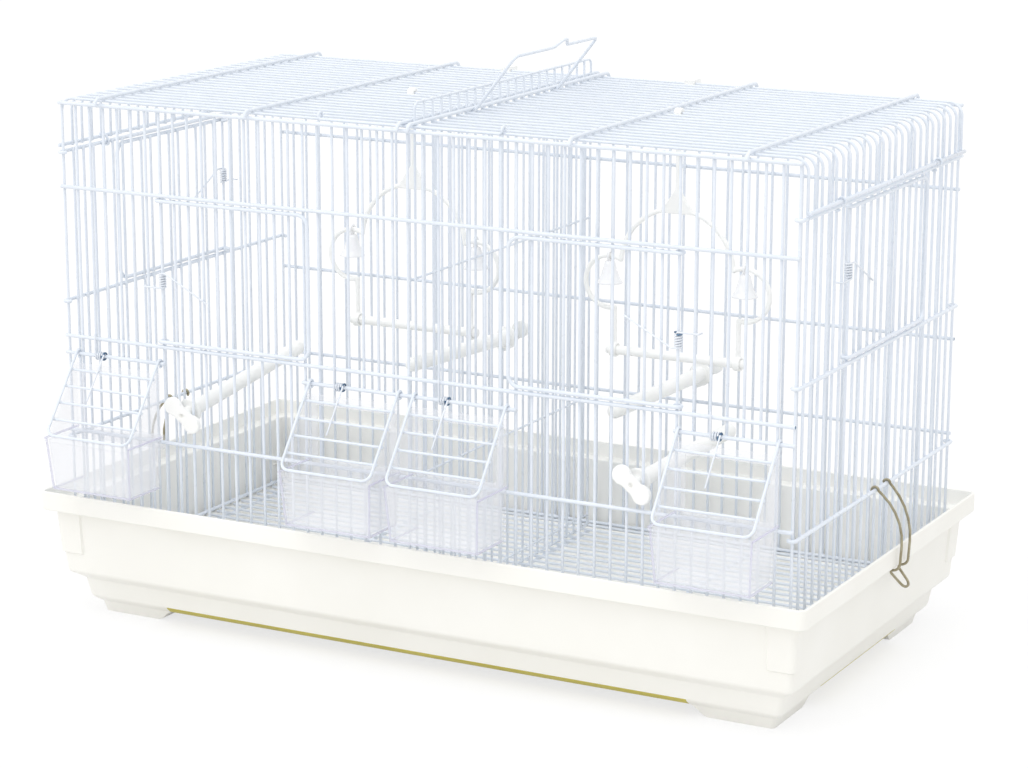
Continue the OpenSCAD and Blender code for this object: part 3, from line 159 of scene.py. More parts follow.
# Shares of the bell's radius and height: down inside from crown to lip, then up outside
BELL_INNER = ((0.0, 0.93), (0.24, 0.92), (0.31, 0.84), (0.37, 0.70), (0.44, 0.55), (0.53, 0.39),
              (0.65, 0.23), (0.78, 0.10), (1.0 - BELL_T / BELL_R * LIP_THIN, 0.0))
BELL_OUTER = ((1.0, 0.0), (0.985, 0.035), (0.89, 0.12), (0.76, 0.26), (0.65, 0.42), (0.56, 0.58),
              (0.49, 0.74), (0.43, 0.88), (0.37, 0.95), (0.24, 0.99), (0.0, 1.0))

# Tray clips
HASP_D, HASP_HALF, HASP_LOW_HALF, HASP_AT, HASP_PLAY, HASP_HOOK = 1.8, 10.5, 7.5, 12.5, 0.2, 230.0
HASP_CLEAR, HASP_KNEE, HASP_BOW_R, HASP_UNDER, HASP_REACH = 4.8, 22.0, 44.0, 2.0, 10.2
HASP_FALL, HASP_IN, HASP_TUCK_R, HASP_R, HASP_SIDES = 0.4, 2.4, 5.0, 1.6, 14
TAB_OUT, TAB_DOWN, TAB_HALF, TAB_R = 5.5, 11.6, 5.0, 4.6

# Mesh detail: a wire's end is (distance in, share of its radius), both in radii
WIRE_SIDES, ARC_STEP = 12, 12.0
END_ROUND = ((0.0, 0.55), (0.14, 0.86), (0.42, 1.0))
BEAD_SIDES, BEAD_RINGS = 8, 5
WELD_LONG, WELD_DEEP = 1.5, 0.75
SAME_POINT, ON_AXIS = 1e-3, 1e-6
JOIN_DIST, FLAT_ANGLE = 1e-6, 0.4
EASE_ANGLE, EASE_STEPS = 35.0, 2

# Finishes
COAT_ROUGH = 0.12
TONE_FROM, TONE_TO = 0.36, 0.64
NOISE_FROM, NOISE_TO = 0.3, 0.7
PATCH_DETAIL, FINE_DETAIL = 3, 2
ROUGH_SCALE, GRAIN_DEPTH = 2.3, 0.0002
CLEAR_PATCH, CLEAR_GRAIN, CLEAR_BUMP = 40, 320, 0.10
MILKY_FROM = 0.55

# Stage, lamps and camera
STAGE_REACH = 14.0
FLOOR_LIT, FLOOR_SEEN, FLOOR_GLOW = 0.81, 0.97, 0.72
WORLD_TINT, WORLD_FILL = (0.995, 0.997, 1.0), 0.93
SUNS = (("key", (-1.5, -2.4, 2.2), 70.0, 0.52), ("top", (0.3, -0.6, 3.0), 60.0, 0.70))
CAMERA_AT = (0.9505, -1.76475, 0.6536)
CAMERA_TILT, CAMERA_TURN = 76.047, 28.508
CAMERA_LENS, CAMERA_SENSOR, CAMERA_FAR = 103.96, 36.0, 60.0
CAMERA_SHIFT = (0.02424, 0.02266)

X, Y, Z = Vector((1, 0, 0)), Vector((0, 1, 0)), Vector((0, 0, 1))
IN_PLACE = Matrix.Identity(4)
HALF_TURN = Matrix.Translation((0, 2 * CAGE_Y, 0)) @ Matrix.Rotation(math.pi, 4, "Z")
MIRROR_X = Matrix.Scale(-1, 4, (1, 0, 0))
MIRROR_Z = Matrix.Scale(-1, 4, (0, 0, 1))


def wx(i):
    """Where the front and back walls' upright i stands."""
    return -X_SIDE + i * PITCH_F


def wy(j):
    """Where the side walls' upright j stands."""
    return Y_FRONT + j * PITCH_S


def ry(k):
    """Where the roof's wire k lies."""
    return Y_FRONT + ROOF_IN + k * PITCH_R


# Materials


def look(name, tones, rough, patch, grain, bump, metal=0.0, coat=0.0):
    """A procedural finish: two tones in patches, roughness that wanders, and a fine grain."""
    mat = bpy.data.materials.new(name)
    mat.use_nodes = True
    nodes, links = mat.node_tree.nodes, mat.node_tree.links
    shader = nodes["Principled BSDF"]
    shader.inputs["Metallic"].default_value = metal
    shader.inputs["Coat Weight"].default_value = coat
    shader.inputs["Coat Roughness"].default_value = COAT_ROUGH
    place = nodes.new("ShaderNodeTexCoord")

    def noise(scale, detail):
        field = nodes.new("ShaderNodeTexNoise")
        field.inputs["Scale"].default_value = scale
        field.inputs["Detail"].default_value = detail
        links.new(place.outputs["Object"], field.inputs["Vector"])
        return field.outputs["Fac"]

    ramp = nodes.new("ShaderNodeValToRGB")
    ramp.color_ramp.elements[0].position = TONE_FROM
    ramp.color_ramp.elements[1].position = TONE_TO
    ramp.color_ramp.elements[0].color = (*tones[0], 1)
    ramp.color_ramp.elements[1].color = (*tones[1], 1)
    links.new(noise(patch, PATCH_DETAIL), ramp.inputs["Fac"])
    links.new(ramp.outputs["Color"], shader.inputs["Base Color"])
    spread = nodes.new("ShaderNodeMapRange")
    spread.inputs["From Min"].default_value = NOISE_FROM
    spread.inputs["From Max"].default_value = NOISE_TO
    spread.inputs["To Min"].default_value = rough[0]
    spread.inputs["To Max"].default_value = rough[1]
    links.new(noise(patch * ROUGH_SCALE, FINE_DETAIL), spread.inputs["Value"])
    links.new(spread.outputs["Result"], shader.inputs["Roughness"])
    relief = nodes.new("ShaderNodeBump")
    relief.inputs["Strength"].default_value = bump
    relief.inputs["Distance"].default_value = GRAIN_DEPTH
    links.new(noise(grain, FINE_DETAIL), relief.inputs["Height"])
    links.new(relief.outputs["Normal"], shader.inputs["Normal"])
    return mat


def clear_look(name, tint, edge, rough, share, through_type="ShaderNodeBsdfTransparent"):
    """Clear moulded plastic: it shows what stands behind it, more milky where it is seen edge on."""
    mat = look(name, (edge, edge), rough, CLEAR_PATCH, CLEAR_GRAIN, CLEAR_BUMP)
    nodes, links = mat.node_tree.nodes, mat.node_tree.links
    shader = nodes["Principled BSDF"]
    through = nodes.new(through_type)
    through.inputs["Color"].default_value = (*tint, 1)
    if "IOR" in through.inputs:
        through.inputs["IOR"].default_value = 1.0
        through.inputs["Roughness"].default_value = 0.0
    edge_on = nodes.new("ShaderNodeLayerWeight")
    edge_on.inputs["Blend"].default_value = 0.5
    amount = nodes.new("ShaderNodeMapRange")
    amount.inputs["From Min"].default_value = MILKY_FROM
    amount.inputs["To Min"].default_value = share[0]
    amount.inputs["To Max"].default_value = share[1]
    links.new(edge_on.outputs["Facing"], amount.inputs["Value"])
    mix = nodes.new("ShaderNodeMixShader")
    links.new(amount.outputs["Result"], mix.inputs["Fac"])
    links.new(through.outputs["BSDF"], mix.inputs[1])
    links.new(shader.outputs["BSDF"], mix.inputs[2])
    links.new(mix.outputs["Shader"], nodes["Material Output"].inputs["Surface"])
    return mat


# Each finish: tones, roughness, patch scale, grain scale, grain strength
COAT = look("wire_coat", ((0.75, 0.80, 0.872), (0.788, 0.832, 0.895)),
            (0.26, 0.40), 90, 1400, 0.10, coat=0.2)
IVORY = look("tray_plastic", ((0.918, 0.905, 0.852), (0.94, 0.928, 0.88)),
             (0.36, 0.48), 14, 1600, 0.06, coat=0.05)
# The tray's inside: a paler copy of the ivory, painted lighter to lift the shade inside the cage.
INSIDE_PAINTED_LIGHT = look("tray_inside_painted_light", ((0.955, 0.948, 0.908), (0.97, 0.963, 0.928)),
              (0.40, 0.52), 14, 1600, 0.05)
# Olive painted shade for the dark gap under the tray.
UNDERSIDE_PAINTED_SHADE = look("tray_underside_painted_shade", ((0.52, 0.45, 0.06), (0.60, 0.52, 0.10)),
                 (0.45, 0.60), 14, 1200, 0.06)
WHITE = look("white_plastic", ((0.95, 0.95, 0.925), (0.965, 0.965, 0.945)),
             (0.30, 0.44), 60, 1200, 0.06, coat=0.1)
PEARL = look("bell_plastic", ((0.92, 0.92, 0.93), (0.95, 0.95, 0.955)),
             (0.18, 0.30), 80, 900, 0.05, coat=0.3)
ZINC = look("spring_zinc", ((0.76, 0.80, 0.86), (0.82, 0.85, 0.90)),
            (0.28, 0.40), 160, 2500, 0.05, metal=0.2)
# Dark metal painted on the springs' end turns and a rail's end cap, as shade.
PAINTED_SHADE_METAL = look("painted_shade_metal", ((0.06, 0.13, 0.24), (0.16, 0.26, 0.38)),
             (0.20, 0.34), 320, 2500, 0.08, metal=0.8)
BRONZE = look("clip_wire", ((0.31, 0.275, 0.18), (0.42, 0.38, 0.27)),
              (0.26, 0.42), 160, 2200, 0.12, metal=0.9)
# Each clear finish: tint, edge colour, roughness, milky share seen flat and seen edge on
CUP = ((0.99, 0.99, 0.997), (0.965, 0.972, 0.98), (0.05, 0.12), (0.21, 0.42))
CUP_EDGE = ((0.97, 0.97, 0.99), (0.78, 0.775, 0.91), (0.05, 0.12), (0.42, 0.80))
CLEAR = clear_look("clear_cup", *CUP)
CLEAR_SIDE = clear_look("clear_cup_side", *CUP, "ShaderNodeBsdfRefraction")
CLEAR_EDGE = clear_look("clear_cup_edge", *CUP_EDGE)


# Meshes


class Shape:
    """Points and faces in millimetres, gathered into one mesh; looks holds each face's material."""

    def __init__(self):
        self.points, self.faces, self.looks = [], [], []

    def add(self, points, faces):
        base = len(self.points)
        self.points.extend(Vector(p) for p in points)
        self.faces.extend([base + k for k in face] for face in faces)
        self.looks.extend([0] * len(faces))

    def place(self, matrix):
        self.points = [matrix @ p for p in self.points]
        if matrix.determinant() < 0:
            self.faces = [face[::-1] for face in self.faces]
        return self

    def piece(self, name, *looks):
        mesh = bpy.data.meshes.new(name)
        mesh.from_pydata([p * MM for p in self.points], [], self.faces)
        for mat in looks:
            mesh.materials.append(mat)
        mesh.polygons.foreach_set("material_index", self.looks)
        return link(name, mesh)


def link(name, mesh):
    mesh.polygons.foreach_set("use_smooth", [True] * len(mesh.polygons))
    mesh.update()
    obj = bpy.data.objects.new(name, mesh)
    bpy.context.scene.collection.objects.link(obj)
    return obj


def skin(rings, size):
    """Faces of a closed skin: the first ring's cap, the bands between the rings, the last ring's cap."""
    faces = [list(range(size - 1, -1, -1))]
    for i in range(rings - 1):
        for k in range(size):
            n = (k + 1) % size
            faces.append([i * size + k, i * size + n, (i + 1) * size + n, (i + 1) * size + k])
    faces.append([(rings - 1) * size + k for k in range(size)])
    return faces


def arc(centre, u, v, r, a0, a1):
    """Points round centre from angle a0 to a1, measured from u towards v."""
    count = max(2, math.ceil(abs(a1 - a0) / ARC_STEP))
    angles = [math.radians(a0 + (a1 - a0) * k / count) for k in range(count + 1)]
    return [Vector(centre) + u * (r * math.cos(a)) + v * (r * math.sin(a)) for a in angles]


def bend(points, r):
    """The line through the points with each inner corner rounded; r is one radius or a list of them."""
    pts = [Vector(p) for p in points]
    radii = r if isinstance(r, (list, tuple)) else [r] * (len(pts) - 2)
    line = [pts[0]]
    for i, radius in enumerate(radii, 1):
        a = (pts[i - 1] - pts[i]).normalized()
        b = (pts[i + 1] - pts[i]).normalized()
        half = math.acos(max(-1.0, min(1.0, a.dot(b)))) / 2
        start = pts[i] + a * (radius / math.tan(half))
        centre = pts[i] + (a + b).normalized() * (radius / math.sin(half))
        line += arc(centre, (start - centre).normalized(), -a, radius, 0, 180 - 2 * math.degrees(half))
    return line + [pts[-1]]


def tube(shape, path, d, sides=WIRE_SIDES, coil=None, shaded_end=False):
    """A round wire along the path, its ends eased; path points in coil and the last end cap, where
    asked, take look 1, a painted dark shade.
    """
    pts = []
    for p in path:
        p = Vector(p)
        if not pts or (p - pts[-1]).length > SAME_POINT:
            pts.append(p)
    r = d / 2
    last = len(pts) - 1
    along = [(pts[min(i + 1, last)] - pts[max(i - 1, 0)]).normalized() for i in range(last + 1)]
    rings = [(pts[0] + along[0] * (s * r), along[0], r * f) for s, f in END_ROUND]
    rings += [(pts[i], along[i], r) for i in range(1, last)]
    rings += [(pts[last] - along[last] * (s * r), along[last], r * f) for s, f in reversed(END_ROUND)]
    side = along[0].orthogonal().normalized()
    points = []
    before = along[0]
    for p, t, size in rings:
        side = before.rotation_difference(t) @ side
        side = (side - t * side.dot(t)).normalized()
        before = t
        other = t.cross(side)
        for k in range(sides):
            a = 2 * math.pi * k / sides
            points.append(p + side * (size * math.cos(a)) + other * (size * math.sin(a)))
    start = len(shape.looks)
    shape.add(points, skin(len(rings), sides))
    if coil:
        skip = len(END_ROUND) - 1
        first, past = 1 + (coil[0] + skip) * sides, 1 + (coil[1] + skip) * sides
        shape.looks[start + first:start + past] = [1] * (past - first)
    if shaded_end:
        shape.looks[-1 - sides:] = [1] * (1 + sides)


def ball(shape, centre, radii, sides=BEAD_SIDES, levels=BEAD_RINGS):
    """An egg-shaped lump with its own radius along each axis."""
    points = [(0, 0, -1)]
    for i in range(1, levels):
        a = math.pi * i / levels - math.pi / 2
        for k in range(sides):
            b = 2 * math.pi * k / sides
            points.append((math.cos(a) * math.cos(b), math.cos(a) * math.sin(b), math.sin(a)))
    points.append((0, 0, 1))
    top = len(points) - 1
    faces = []
    for k in range(sides):
        n = (k + 1) % sides
        faces.append([0, 1 + n, 1 + k])
        for i in range(levels - 2):
            base = 1 + i * sides
            faces.append([base + k, base + n, base + sides + n, base + sides + k])
        base = 1 + (levels - 2) * sides
        faces.append([base + k, base + n, top])
    shape.add([Vector(centre) + Vector(p) * Vector(radii) for p in points], faces)


def weld(shape, x, y, z, through):
    """A coated weld where two wires cross; through is the axis that passes through both."""
    radii = [WELD_LONG] * 3
    radii[through] = WELD_DEEP
    ball(shape, (x, y, z), radii)


def touch(a, b):
    """Where a thin wire at a meets a rail at b."""
    return a + math.copysign((WIRE + WELD_GAP) / 2, b - a)


def lathe(shape, profile, sides):
    """A turned form about the Z axis from (radius, height) pairs; no radius closes it."""
    rings = []
    for r, z in profile:
        base = len(shape.points)
        if r < ON_AXIS:
            shape.add([(0, 0, z)], [])
            rings.append([base])
        else:
            turn = [2 * math.pi * k / sides for k in range(sides)]
            shape.add([(r * math.cos(a), r * math.sin(a), z) for a in turn], [])
            rings.append([base + k for k in range(sides)])
    for low, high in zip(rings, rings[1:]):
        for k in range(sides):
            n = (k + 1) % sides
            face = [low[k % len(low)], low[n % len(low)], high[n % len(high)], high[k % len(high)]]
            shape.faces.append(list(dict.fromkeys(face)))
            shape.looks.append(0)


def cad_copy(node, name, mat):
    """A node's own form as a new piece, its doubled points joined and its flat faces made whole."""
    work = bmesh.new()
    work.from_mesh(NODES[node].data)
    bmesh.ops.remove_doubles(work, verts=work.verts, dist=JOIN_DIST)
    flat = math.radians(FLAT_ANGLE)
    bmesh.ops.dissolve_limit(work, angle_limit=flat, verts=work.verts, edges=work.edges)
    mesh = bpy.data.meshes.new(name)
    points = [v.co.copy() for v in work.verts]
    work.verts.index_update()
    mesh.from_pydata(points, [], [[v.index for v in f.verts] for f in work.faces])
    work.free()
    mesh.materials.append(mat)
    obj = link(name, mesh)
    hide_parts(node)
    return obj


def ease(obj, width, segments=EASE_STEPS, use=-1):
    """Rounds the edges and keeps the flats flat; use is the rounding's look, if it has its own."""
    bevel = obj.modifiers.new("ease", "BEVEL")
    bevel.material = use
    bevel.width = width * MM
    bevel.segments = segments
    bevel.limit_method = "ANGLE"
    bevel.angle_limit = math.radians(EASE_ANGLE)
    obj.modifiers.new("flats", "WEIGHTED_NORMAL")
    return obj


def melt(obj, voxel, passes):
    """Runs a moulding's joints into each other."""
    grid = obj.modifiers.new("melt", "REMESH")
    grid.mode = "VOXEL"
    grid.voxel_size = voxel * MM
    grid.use_smooth_shade = True
    flow = obj.modifiers.new("flow", "SMOOTH")
    flow.factor = MELT_FLOW
    flow.iterations = passes
    return obj


def dress(obj, body, slot, *nodes):
    if nodes:
        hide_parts(*nodes)
    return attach(obj, body)


# Tray


def outline(inset, z, r):
    """A level of the tray: four corners, and two points beside the feet on each straight."""
    points = []
    for sx, sy, a0 in ((1, 1, 0), (-1, 1, 90), (-1, -1, 180), (1, -1, 270)):
        hx, hy = RIM_W / 2 - inset, RIM_D / 2 - inset
        for k in range(CORNER_STEPS + 1):
            a = math.radians(a0 + 90 * k / CORNER_STEPS)
            x, y = sx * (hx - r) + r * math.cos(a), TRAY_Y + sy * (hy - r) + r * math.sin(a)
            points.append((x, y, z))
        if sx == sy:
            points += [(sx * FOOT_X, TRAY_Y + sy * hy, z), (-sx * FOOT_X, TRAY_Y + sy * hy, z)]
        else:
            points += [(sx * hx, TRAY_Y + sy * FOOT_Y, z), (sx * hx, TRAY_Y - sy * FOOT_Y, z)]
    return points


def eased(profile):
    """Rounds the corners of a profile of (inset, height, plan radius, rounding)."""
    out = []
    for i, (inset, z, r, size) in enumerate(profile):
        if size <= 0:
            out.append((inset, z, r))
            continue
        p = Vector((inset, z))
        a = (Vector(profile[i - 1][:2]) - p).normalized()
        b = (Vector(profile[i + 1][:2]) - p).normalized()
        for k in range(FILLET_STEPS + 1):
            t = k / FILLET_STEPS
            q = (p + a * size) * (1 - t) ** 2 + p * (2 * t * (1 - t)) + (p + b * size) * t ** 2
            out.append((q.x, q.y, r))
    return out


def tray():
    """Look 0 is the outside; 1 the inside, painted paler than the outside to lift its shade; and 2 the
    underside between the feet, painted olive shade.
    """
    shape = Shape()
    wall_r = RIM_R - TRAY_T
    floor_rise = FLOOR_Z - FOOT_H
    profile = eased([
        (UNDER_IN + FLOOR_LAP, FOOT_H, wall_r, 0),
        (UNDER_IN, FOOT_H, wall_r, HEEL_ROUND),
        (HEEL_IN, HEEL_Z, wall_r, HEEL_ROUND),
        (LOWER_IN, LOWER_Z, wall_r, FOLD_ROUND),
        (SHOULDER_IN, SHOULDER_Z, wall_r, SHOULDER_ROUND),
        (WALL_IN, STEP_Z, wall_r, FOLD_ROUND),
        (0, STEP_Z, RIM_R, STEP_ROUND),
        (0, TRAY_H, RIM_R, LIP_ROUND),
        (TRAY_T, TRAY_H, wall_r, LIP_IN_ROUND),
        (TRAY_T, STEP_Z + TRAY_T, wall_r, STEP_ROUND),
        (WALL_IN + TRAY_T, STEP_Z + TRAY_T, INNER_R, STEP_ROUND),
        (SHOULDER_IN + TRAY_T, LEDGE_Z, INNER_R, LEDGE_ROUND),
        (LOWER_IN + TRAY_T, LEDGE_Z, INNER_R, FOLD_ROUND),
        (HEEL_IN + TRAY_T, HEEL_Z + floor_rise, INNER_R, HEEL_ROUND),
        (UNDER_IN + TRAY_T, FLOOR_Z, INNER_R, HEEL_ROUND),
        (UNDER_IN + TRAY_T + FLOOR_LAP, FLOOR_Z, INNER_R, 0)])
    rings = [outline(*level) for level in profile]
    size = len(rings[0])
    faces = skin(len(rings), size)
    shape.add([p for ring in rings for p in ring], faces)
    crest = max(range(len(profile)), key=lambda i: profile[i][1])
    inside = 1 + (crest + 1) * size
    shape.looks[inside:] = [1] * (len(faces) - inside)
    # The underside between the feet takes look 2, the olive painted shade.
    heel = 2 * (FILLET_STEPS + 1)
    for i in range(heel - 1):
        for k in range(CORNER_STEPS + 1, size, CORNER_POINTS):
            shape.looks[1 + i * size + k] = 2
    for sx in (1, -1):
        for sy in (1, -1):
            corner = Shape()
            corner_pad(corner)
            foot(corner)
            corner.place(Matrix.Translation((0, TRAY_Y, 0)) @ Matrix.Diagonal((sx, sy, 1, 1)))
            shape.add(corner.points, corner.faces)
    return shape


def pad_line(inset, z, back):
    """The pad's outside from the front face round the corner; its two ends run back into the wall."""
    r = RIM_R - TRAY_T
    hx, hy = RIM_W / 2 - inset, RIM_D / 2 - inset
    end_x, end_y = RIM_W / 2 - PAD_L, RIM_D / 2 - PAD_L
    line = [Vector((end_x, hy - back, z)), Vector((end_x + PAD_EASE, hy, z))]
    line += arc((hx - r, hy - r, z), X, Y, r, 90, 0)
    return line + [Vector((hx, end_y + PAD_EASE, z)), Vector((hx - back, end_y, z))]


def corner_pad(shape):
    """A raised pad round a corner of the tray's wall, from under the rim down to an eased foot."""
    low_in, high_in = WALL_IN - PAD_OUT + TRAY_T, WALL_IN - PAD_OUT
    sunk = low_in + PAD_OUT + PAD_BITE
    rings = []
    for inset, z in ((sunk, PAD_Z - PAD_EASE), (low_in, PAD_Z), (high_in, STEP_Z + TRAY_T / 2)):
        rings.append(pad_line(inset, z, PAD_OUT + PAD_BITE) + pad_line(inset + PAD_SINK, z, 0)[::-1])
    size = len(rings[0])
    half = size // 2
    faces = []
    for i in range(len(rings) - 1):
        for k in range(size):
            n = (k + 1) % size
            faces.append([i * size + k, (i + 1) * size + k, (i + 1) * size + n, i * size + n])
    top = (len(rings) - 1) * size
    for k in range(half - 1):
        faces.append([k, k + 1, size - 2 - k, size - 1 - k])
        faces.append([top + k, top + size - 1 - k, top + size - 2 - k, top + k + 1])
    shape.add([p for ring in rings for p in ring], faces)


def foot(shape):
    """A corner foot: its outer corner is round, and its two inner sides rise to the tray in an S."""
    x0, y0 = RIM_W / 2 - UNDER_IN, RIM_D / 2 - UNDER_IN
    rings = []
    for i in range(FOOT_LEVELS + 1):
        t = i / FOOT_LEVELS
        near = FOOT_LEAN * (1 - t)
        far = FOOT_L + FOOT_FLARE * (0.5 - math.sin(math.asin(1 - 2 * t) / 3))
        z = (FOOT_H + FOOT_SINK) * t
        ring = [Vector((x0 - far, y0 - far, z)), Vector((x0 - near, y0 - far, z))]
        ring += arc((x0 - near - FOOT_R, y0 - near - FOOT_R, z), X, Y, FOOT_R, 0, 90)
        rings.append(ring + [Vector((x0 - far, y0 - near, z))])
    shape.add([p for ring in rings for p in ring], skin(len(rings), len(rings[0])))


# Wire walls


def from_edge(i):
    return min(i, FRONT_GAPS - i)


def in_door(i):
    return FRONT_HINGE < from_edge(i) < FRONT_HINGE + FRONT_DOOR_GAPS


def in_feeder(i):
    middle = FRONT_GAPS // 2
    return 1 < from_edge(i) < 1 + FEEDER_GAPS or 0 < abs(i - middle) < FEEDER_GAPS


def wall(posts, rails, y):
    """Posts of (x, low, high) at y, and rails of (x0, x1, y, z) welded to them."""
    shape = Shape()
    for x, low, high in posts:
        tube(shape, [(x, y, low), (x, y, high)], WIRE)
    for x0, x1, rail_y, z in rails:
        # The mid rail's right end cap is painted dark, as shade.
        tube(shape, [(x0, rail_y, z), (x1, rail_y, z)], BAR, shaded_end=z == Z_MID)
        for x, low, high in posts:
            if x0 < x < x1 and low - BAR < z < high + BAR:
                weld(shape, x, touch(y, rail_y), z, 1)
    return shape


def front_wall():
    top = Z_TOP + BAR / 2
    posts = []
    for i in range(FRONT_GAPS + 1):
        spans = [(FOOT_Z, top)]
        if in_feeder(i):
            spans = [(FOOT_Z, Z_LOW + BAR / 2), (Z_ROD - BAR / 2, top)]
        elif in_door(i):
            spans = [(FOOT_Z, Z_MID + BAR / 2), (Z_HIGH - BAR / 2, top)]
        posts += [(wx(i), low, high) for low, high in spans]
    end = X_SIDE + RAIL_OVER
    hinge = wx(FRONT_HINGE) + RAIL_OVER
    catch = wx(FRONT_HINGE + FRONT_DOOR_GAPS) - RAIL_OVER
    rails = [(-end, end, ROD_Y, z) for z in (Z_TOP, Z_HIGH, Z_MID, Z_LOW)]
    rails += [(x0, x1, ROD_Y, Z_ROD) for x0, x1 in ((-end, hinge), (catch, -catch), (-hinge, end))]
    rails.append((-X_SIDE + RAIL_SHORT, X_SIDE - RAIL_SHORT, Y_FRONT + LAY, BOTTOM_Z))
    return wall(posts, rails, Y_FRONT)


def back_wall():
    posts = [(wx(i), FOOT_Z, Z_TOP + BAR / 2) for i in range(FRONT_GAPS + 1)]
    end = X_SIDE + RAIL_OVER
    rails = [(-end, end, Y_BACK + LAY, z) for z in (Z_TOP, Z_HIGH, Z_MID, Z_LOW)]
    rails.append((-X_SIDE + RAIL_SHORT, X_SIDE - RAIL_SHORT, Y_BACK - LAY, BOTTOM_Z))
    return wall(posts, rails, Y_BACK)


def side_wall():
    """The right wall: its rails close round the front and back walls' end posts."""
    shape = Shape()
    posts = []
    for j in range(1, SIDE_GAPS):
        in_gap = SIDE_HINGE < j < SIDE_HINGE + SIDE_DOOR_GAPS
        posts.append((wy(j), (SIDE_MID if in_gap else SIDE_TOP) + BAR / 2))
    for y, high in posts:
        tube(shape, [(X_SIDE, y, FOOT_Z), (X_SIDE, y, high)], WIRE)
    for z in (SIDE_TOP, SIDE_MID, SIDE_LOW):
        line = arc((X_SIDE, Y_FRONT, z), X, Y, LAY, 180, 360)
        line += arc((X_SIDE, Y_BACK, z), X, Y, LAY, 0, 180)
        tube(shape, line, BAR)
        for y, high in posts:
            if z < high:
                weld(shape, touch(X_SIDE, X_SIDE + LAY), y, z, 0)
    ends = (Y_FRONT + RAIL_SHORT, Y_BACK - RAIL_SHORT)
    tube(shape, [(X_SIDE - LAY, y, BOTTOM_Z) for y in ends], BAR)
    for y, high in posts:
        weld(shape, touch(X_SIDE, X_SIDE - LAY), y, BOTTOM_Z, 0)
    return shape


# Roof, grate, divider and handle


def roof():
    shape = Shape()
    low = Z_END_RAIL - BAR / 2
    start = SLOT_HALF - BAR / 2
    rail_x = (SLOT_HALF, X_SIDE * RAIL_IN_SHARE, X_SIDE * RAIL_OUT_SHARE)
    rails = [s * x for x in rail_x for s in (1, -1)]
    for k in range(ROOF_GAPS + 1):
        y = ry(k)
        right = [(X_ROOF, y, Z_ROOF), (X_ROOF, y, low)]
        if k in (0, ROOF_GAPS):
            tube(shape, bend([(-X_ROOF, y, low), (-X_ROOF, y, Z_ROOF)] + right, ROOF_BEND_R), WIRE)
        else:
            half = [(start, y, Z_ROOF)] + right
            tube(shape, bend(half, ROOF_BEND_R), WIRE)
            tube(shape, bend([(-x, at_y, z) for x, at_y, z in half], ROOF_BEND_R), WIRE)
        for x in rails:
            weld(shape, x, y, touch(Z_ROOF, Z_CROSS), 2)
        for s in (1, -1):
            weld(shape, s * touch(X_ROOF, X_END_RAIL), y, Z_END_RAIL, 0)
    for s in (1, -1):
        ends = [(s * X_END_RAIL, y, Z_END_RAIL) for y in (ry(0) - WIRE, ry(ROOF_GAPS) + WIRE)]
        tube(shape, ends, BAR)
    r = Z_CROSS - Z_TOP
    for x in rails:
        line = arc((x, Y_FRONT - LAY, Z_TOP), -Y, Z, r, 90 - ROOF_HOOK_TURN, 90)
        line += arc((x, Y_BACK + LAY, Z_TOP), Y, Z, r, 90, 90 - ROOF_HOOK_TURN)
        tube(shape, line, BAR)
    return shape


def roof_hooks():
    """Wire loops that tie the roof's end rails to the side walls' top rails."""
    shape = Shape()
    dx, dz = X_END_RAIL - X_SIDE - LAY, Z_END_RAIL - SIDE_TOP
    u = Vector((dx, 0, dz)).normalized()
    v = Vector((-u.z, 0, u.x))
    r = (BAR + LOOP_D) / 2 + LOOP_PLAY
    for y in (Y_FRONT + CAGE_D * LOOP_SHARE, Y_BACK - CAGE_D * LOOP_SHARE):
        loop = Shape()
        line = arc((X_SIDE + LAY, y, SIDE_TOP), u, v, r, 270, 90)
        line += arc((X_END_RAIL, y, Z_END_RAIL), u, v, r, 90, -90)
        tube(loop, line, LOOP_D)
        shape.add(loop.points, loop.faces)
        loop.place(HALF_TURN)
        shape.add(loop.points, loop.faces)
    return shape


def roof_rod():
    shape = Shape()
    y0, y1 = ry(0) - WIRE - LOOP_PLAY, ry(0) + WIRE + LOOP_PLAY
    up, down = Z_ROOF + ROD_UP, Z_ROOF - ROD_DOWN
    half = [(ROD_HALF, y0, Z_ROOF), (ROD_HALF, y0, up), (ROD_HALF, y1, up), (ROD_HALF, y1, down)]
    tube(shape, bend([(-x, y, z) for x, y, z in half[::-1]] + half, ROD_R), WIRE)
    return shape


def grate():
    shape = Shape()
    lines = [GRATE_Y0 + (GRATE_Y1 - GRATE_Y0) * k / GRATE_GAPS for k in range(GRATE_GAPS + 1)]
    for y in lines:
        tube(shape, [(-GRATE_X, y, GRATE_Z), (GRATE_X, y, GRATE_Z)], WIRE)
    short = HEEL_IN + TRAY_T + GRATE_CROSS_PLAY
    y0, y1 = TRAY_Y - RIM_D / 2 + short, TRAY_Y + RIM_D / 2 - short
    for k in range(GRATE_CROSS):
        x = (RIM_W / 2 - short - BAR) * (2 * k / (GRATE_CROSS - 1) - 1)
        tube(shape, [(x, y0, GRATE_Z - LAY), (x, y1, GRATE_Z - LAY)], BAR)
        for y in lines:
            if y0 < y < y1:
                weld(shape, x, y, touch(GRATE_Z, GRATE_Z - LAY), 2)
    return shape


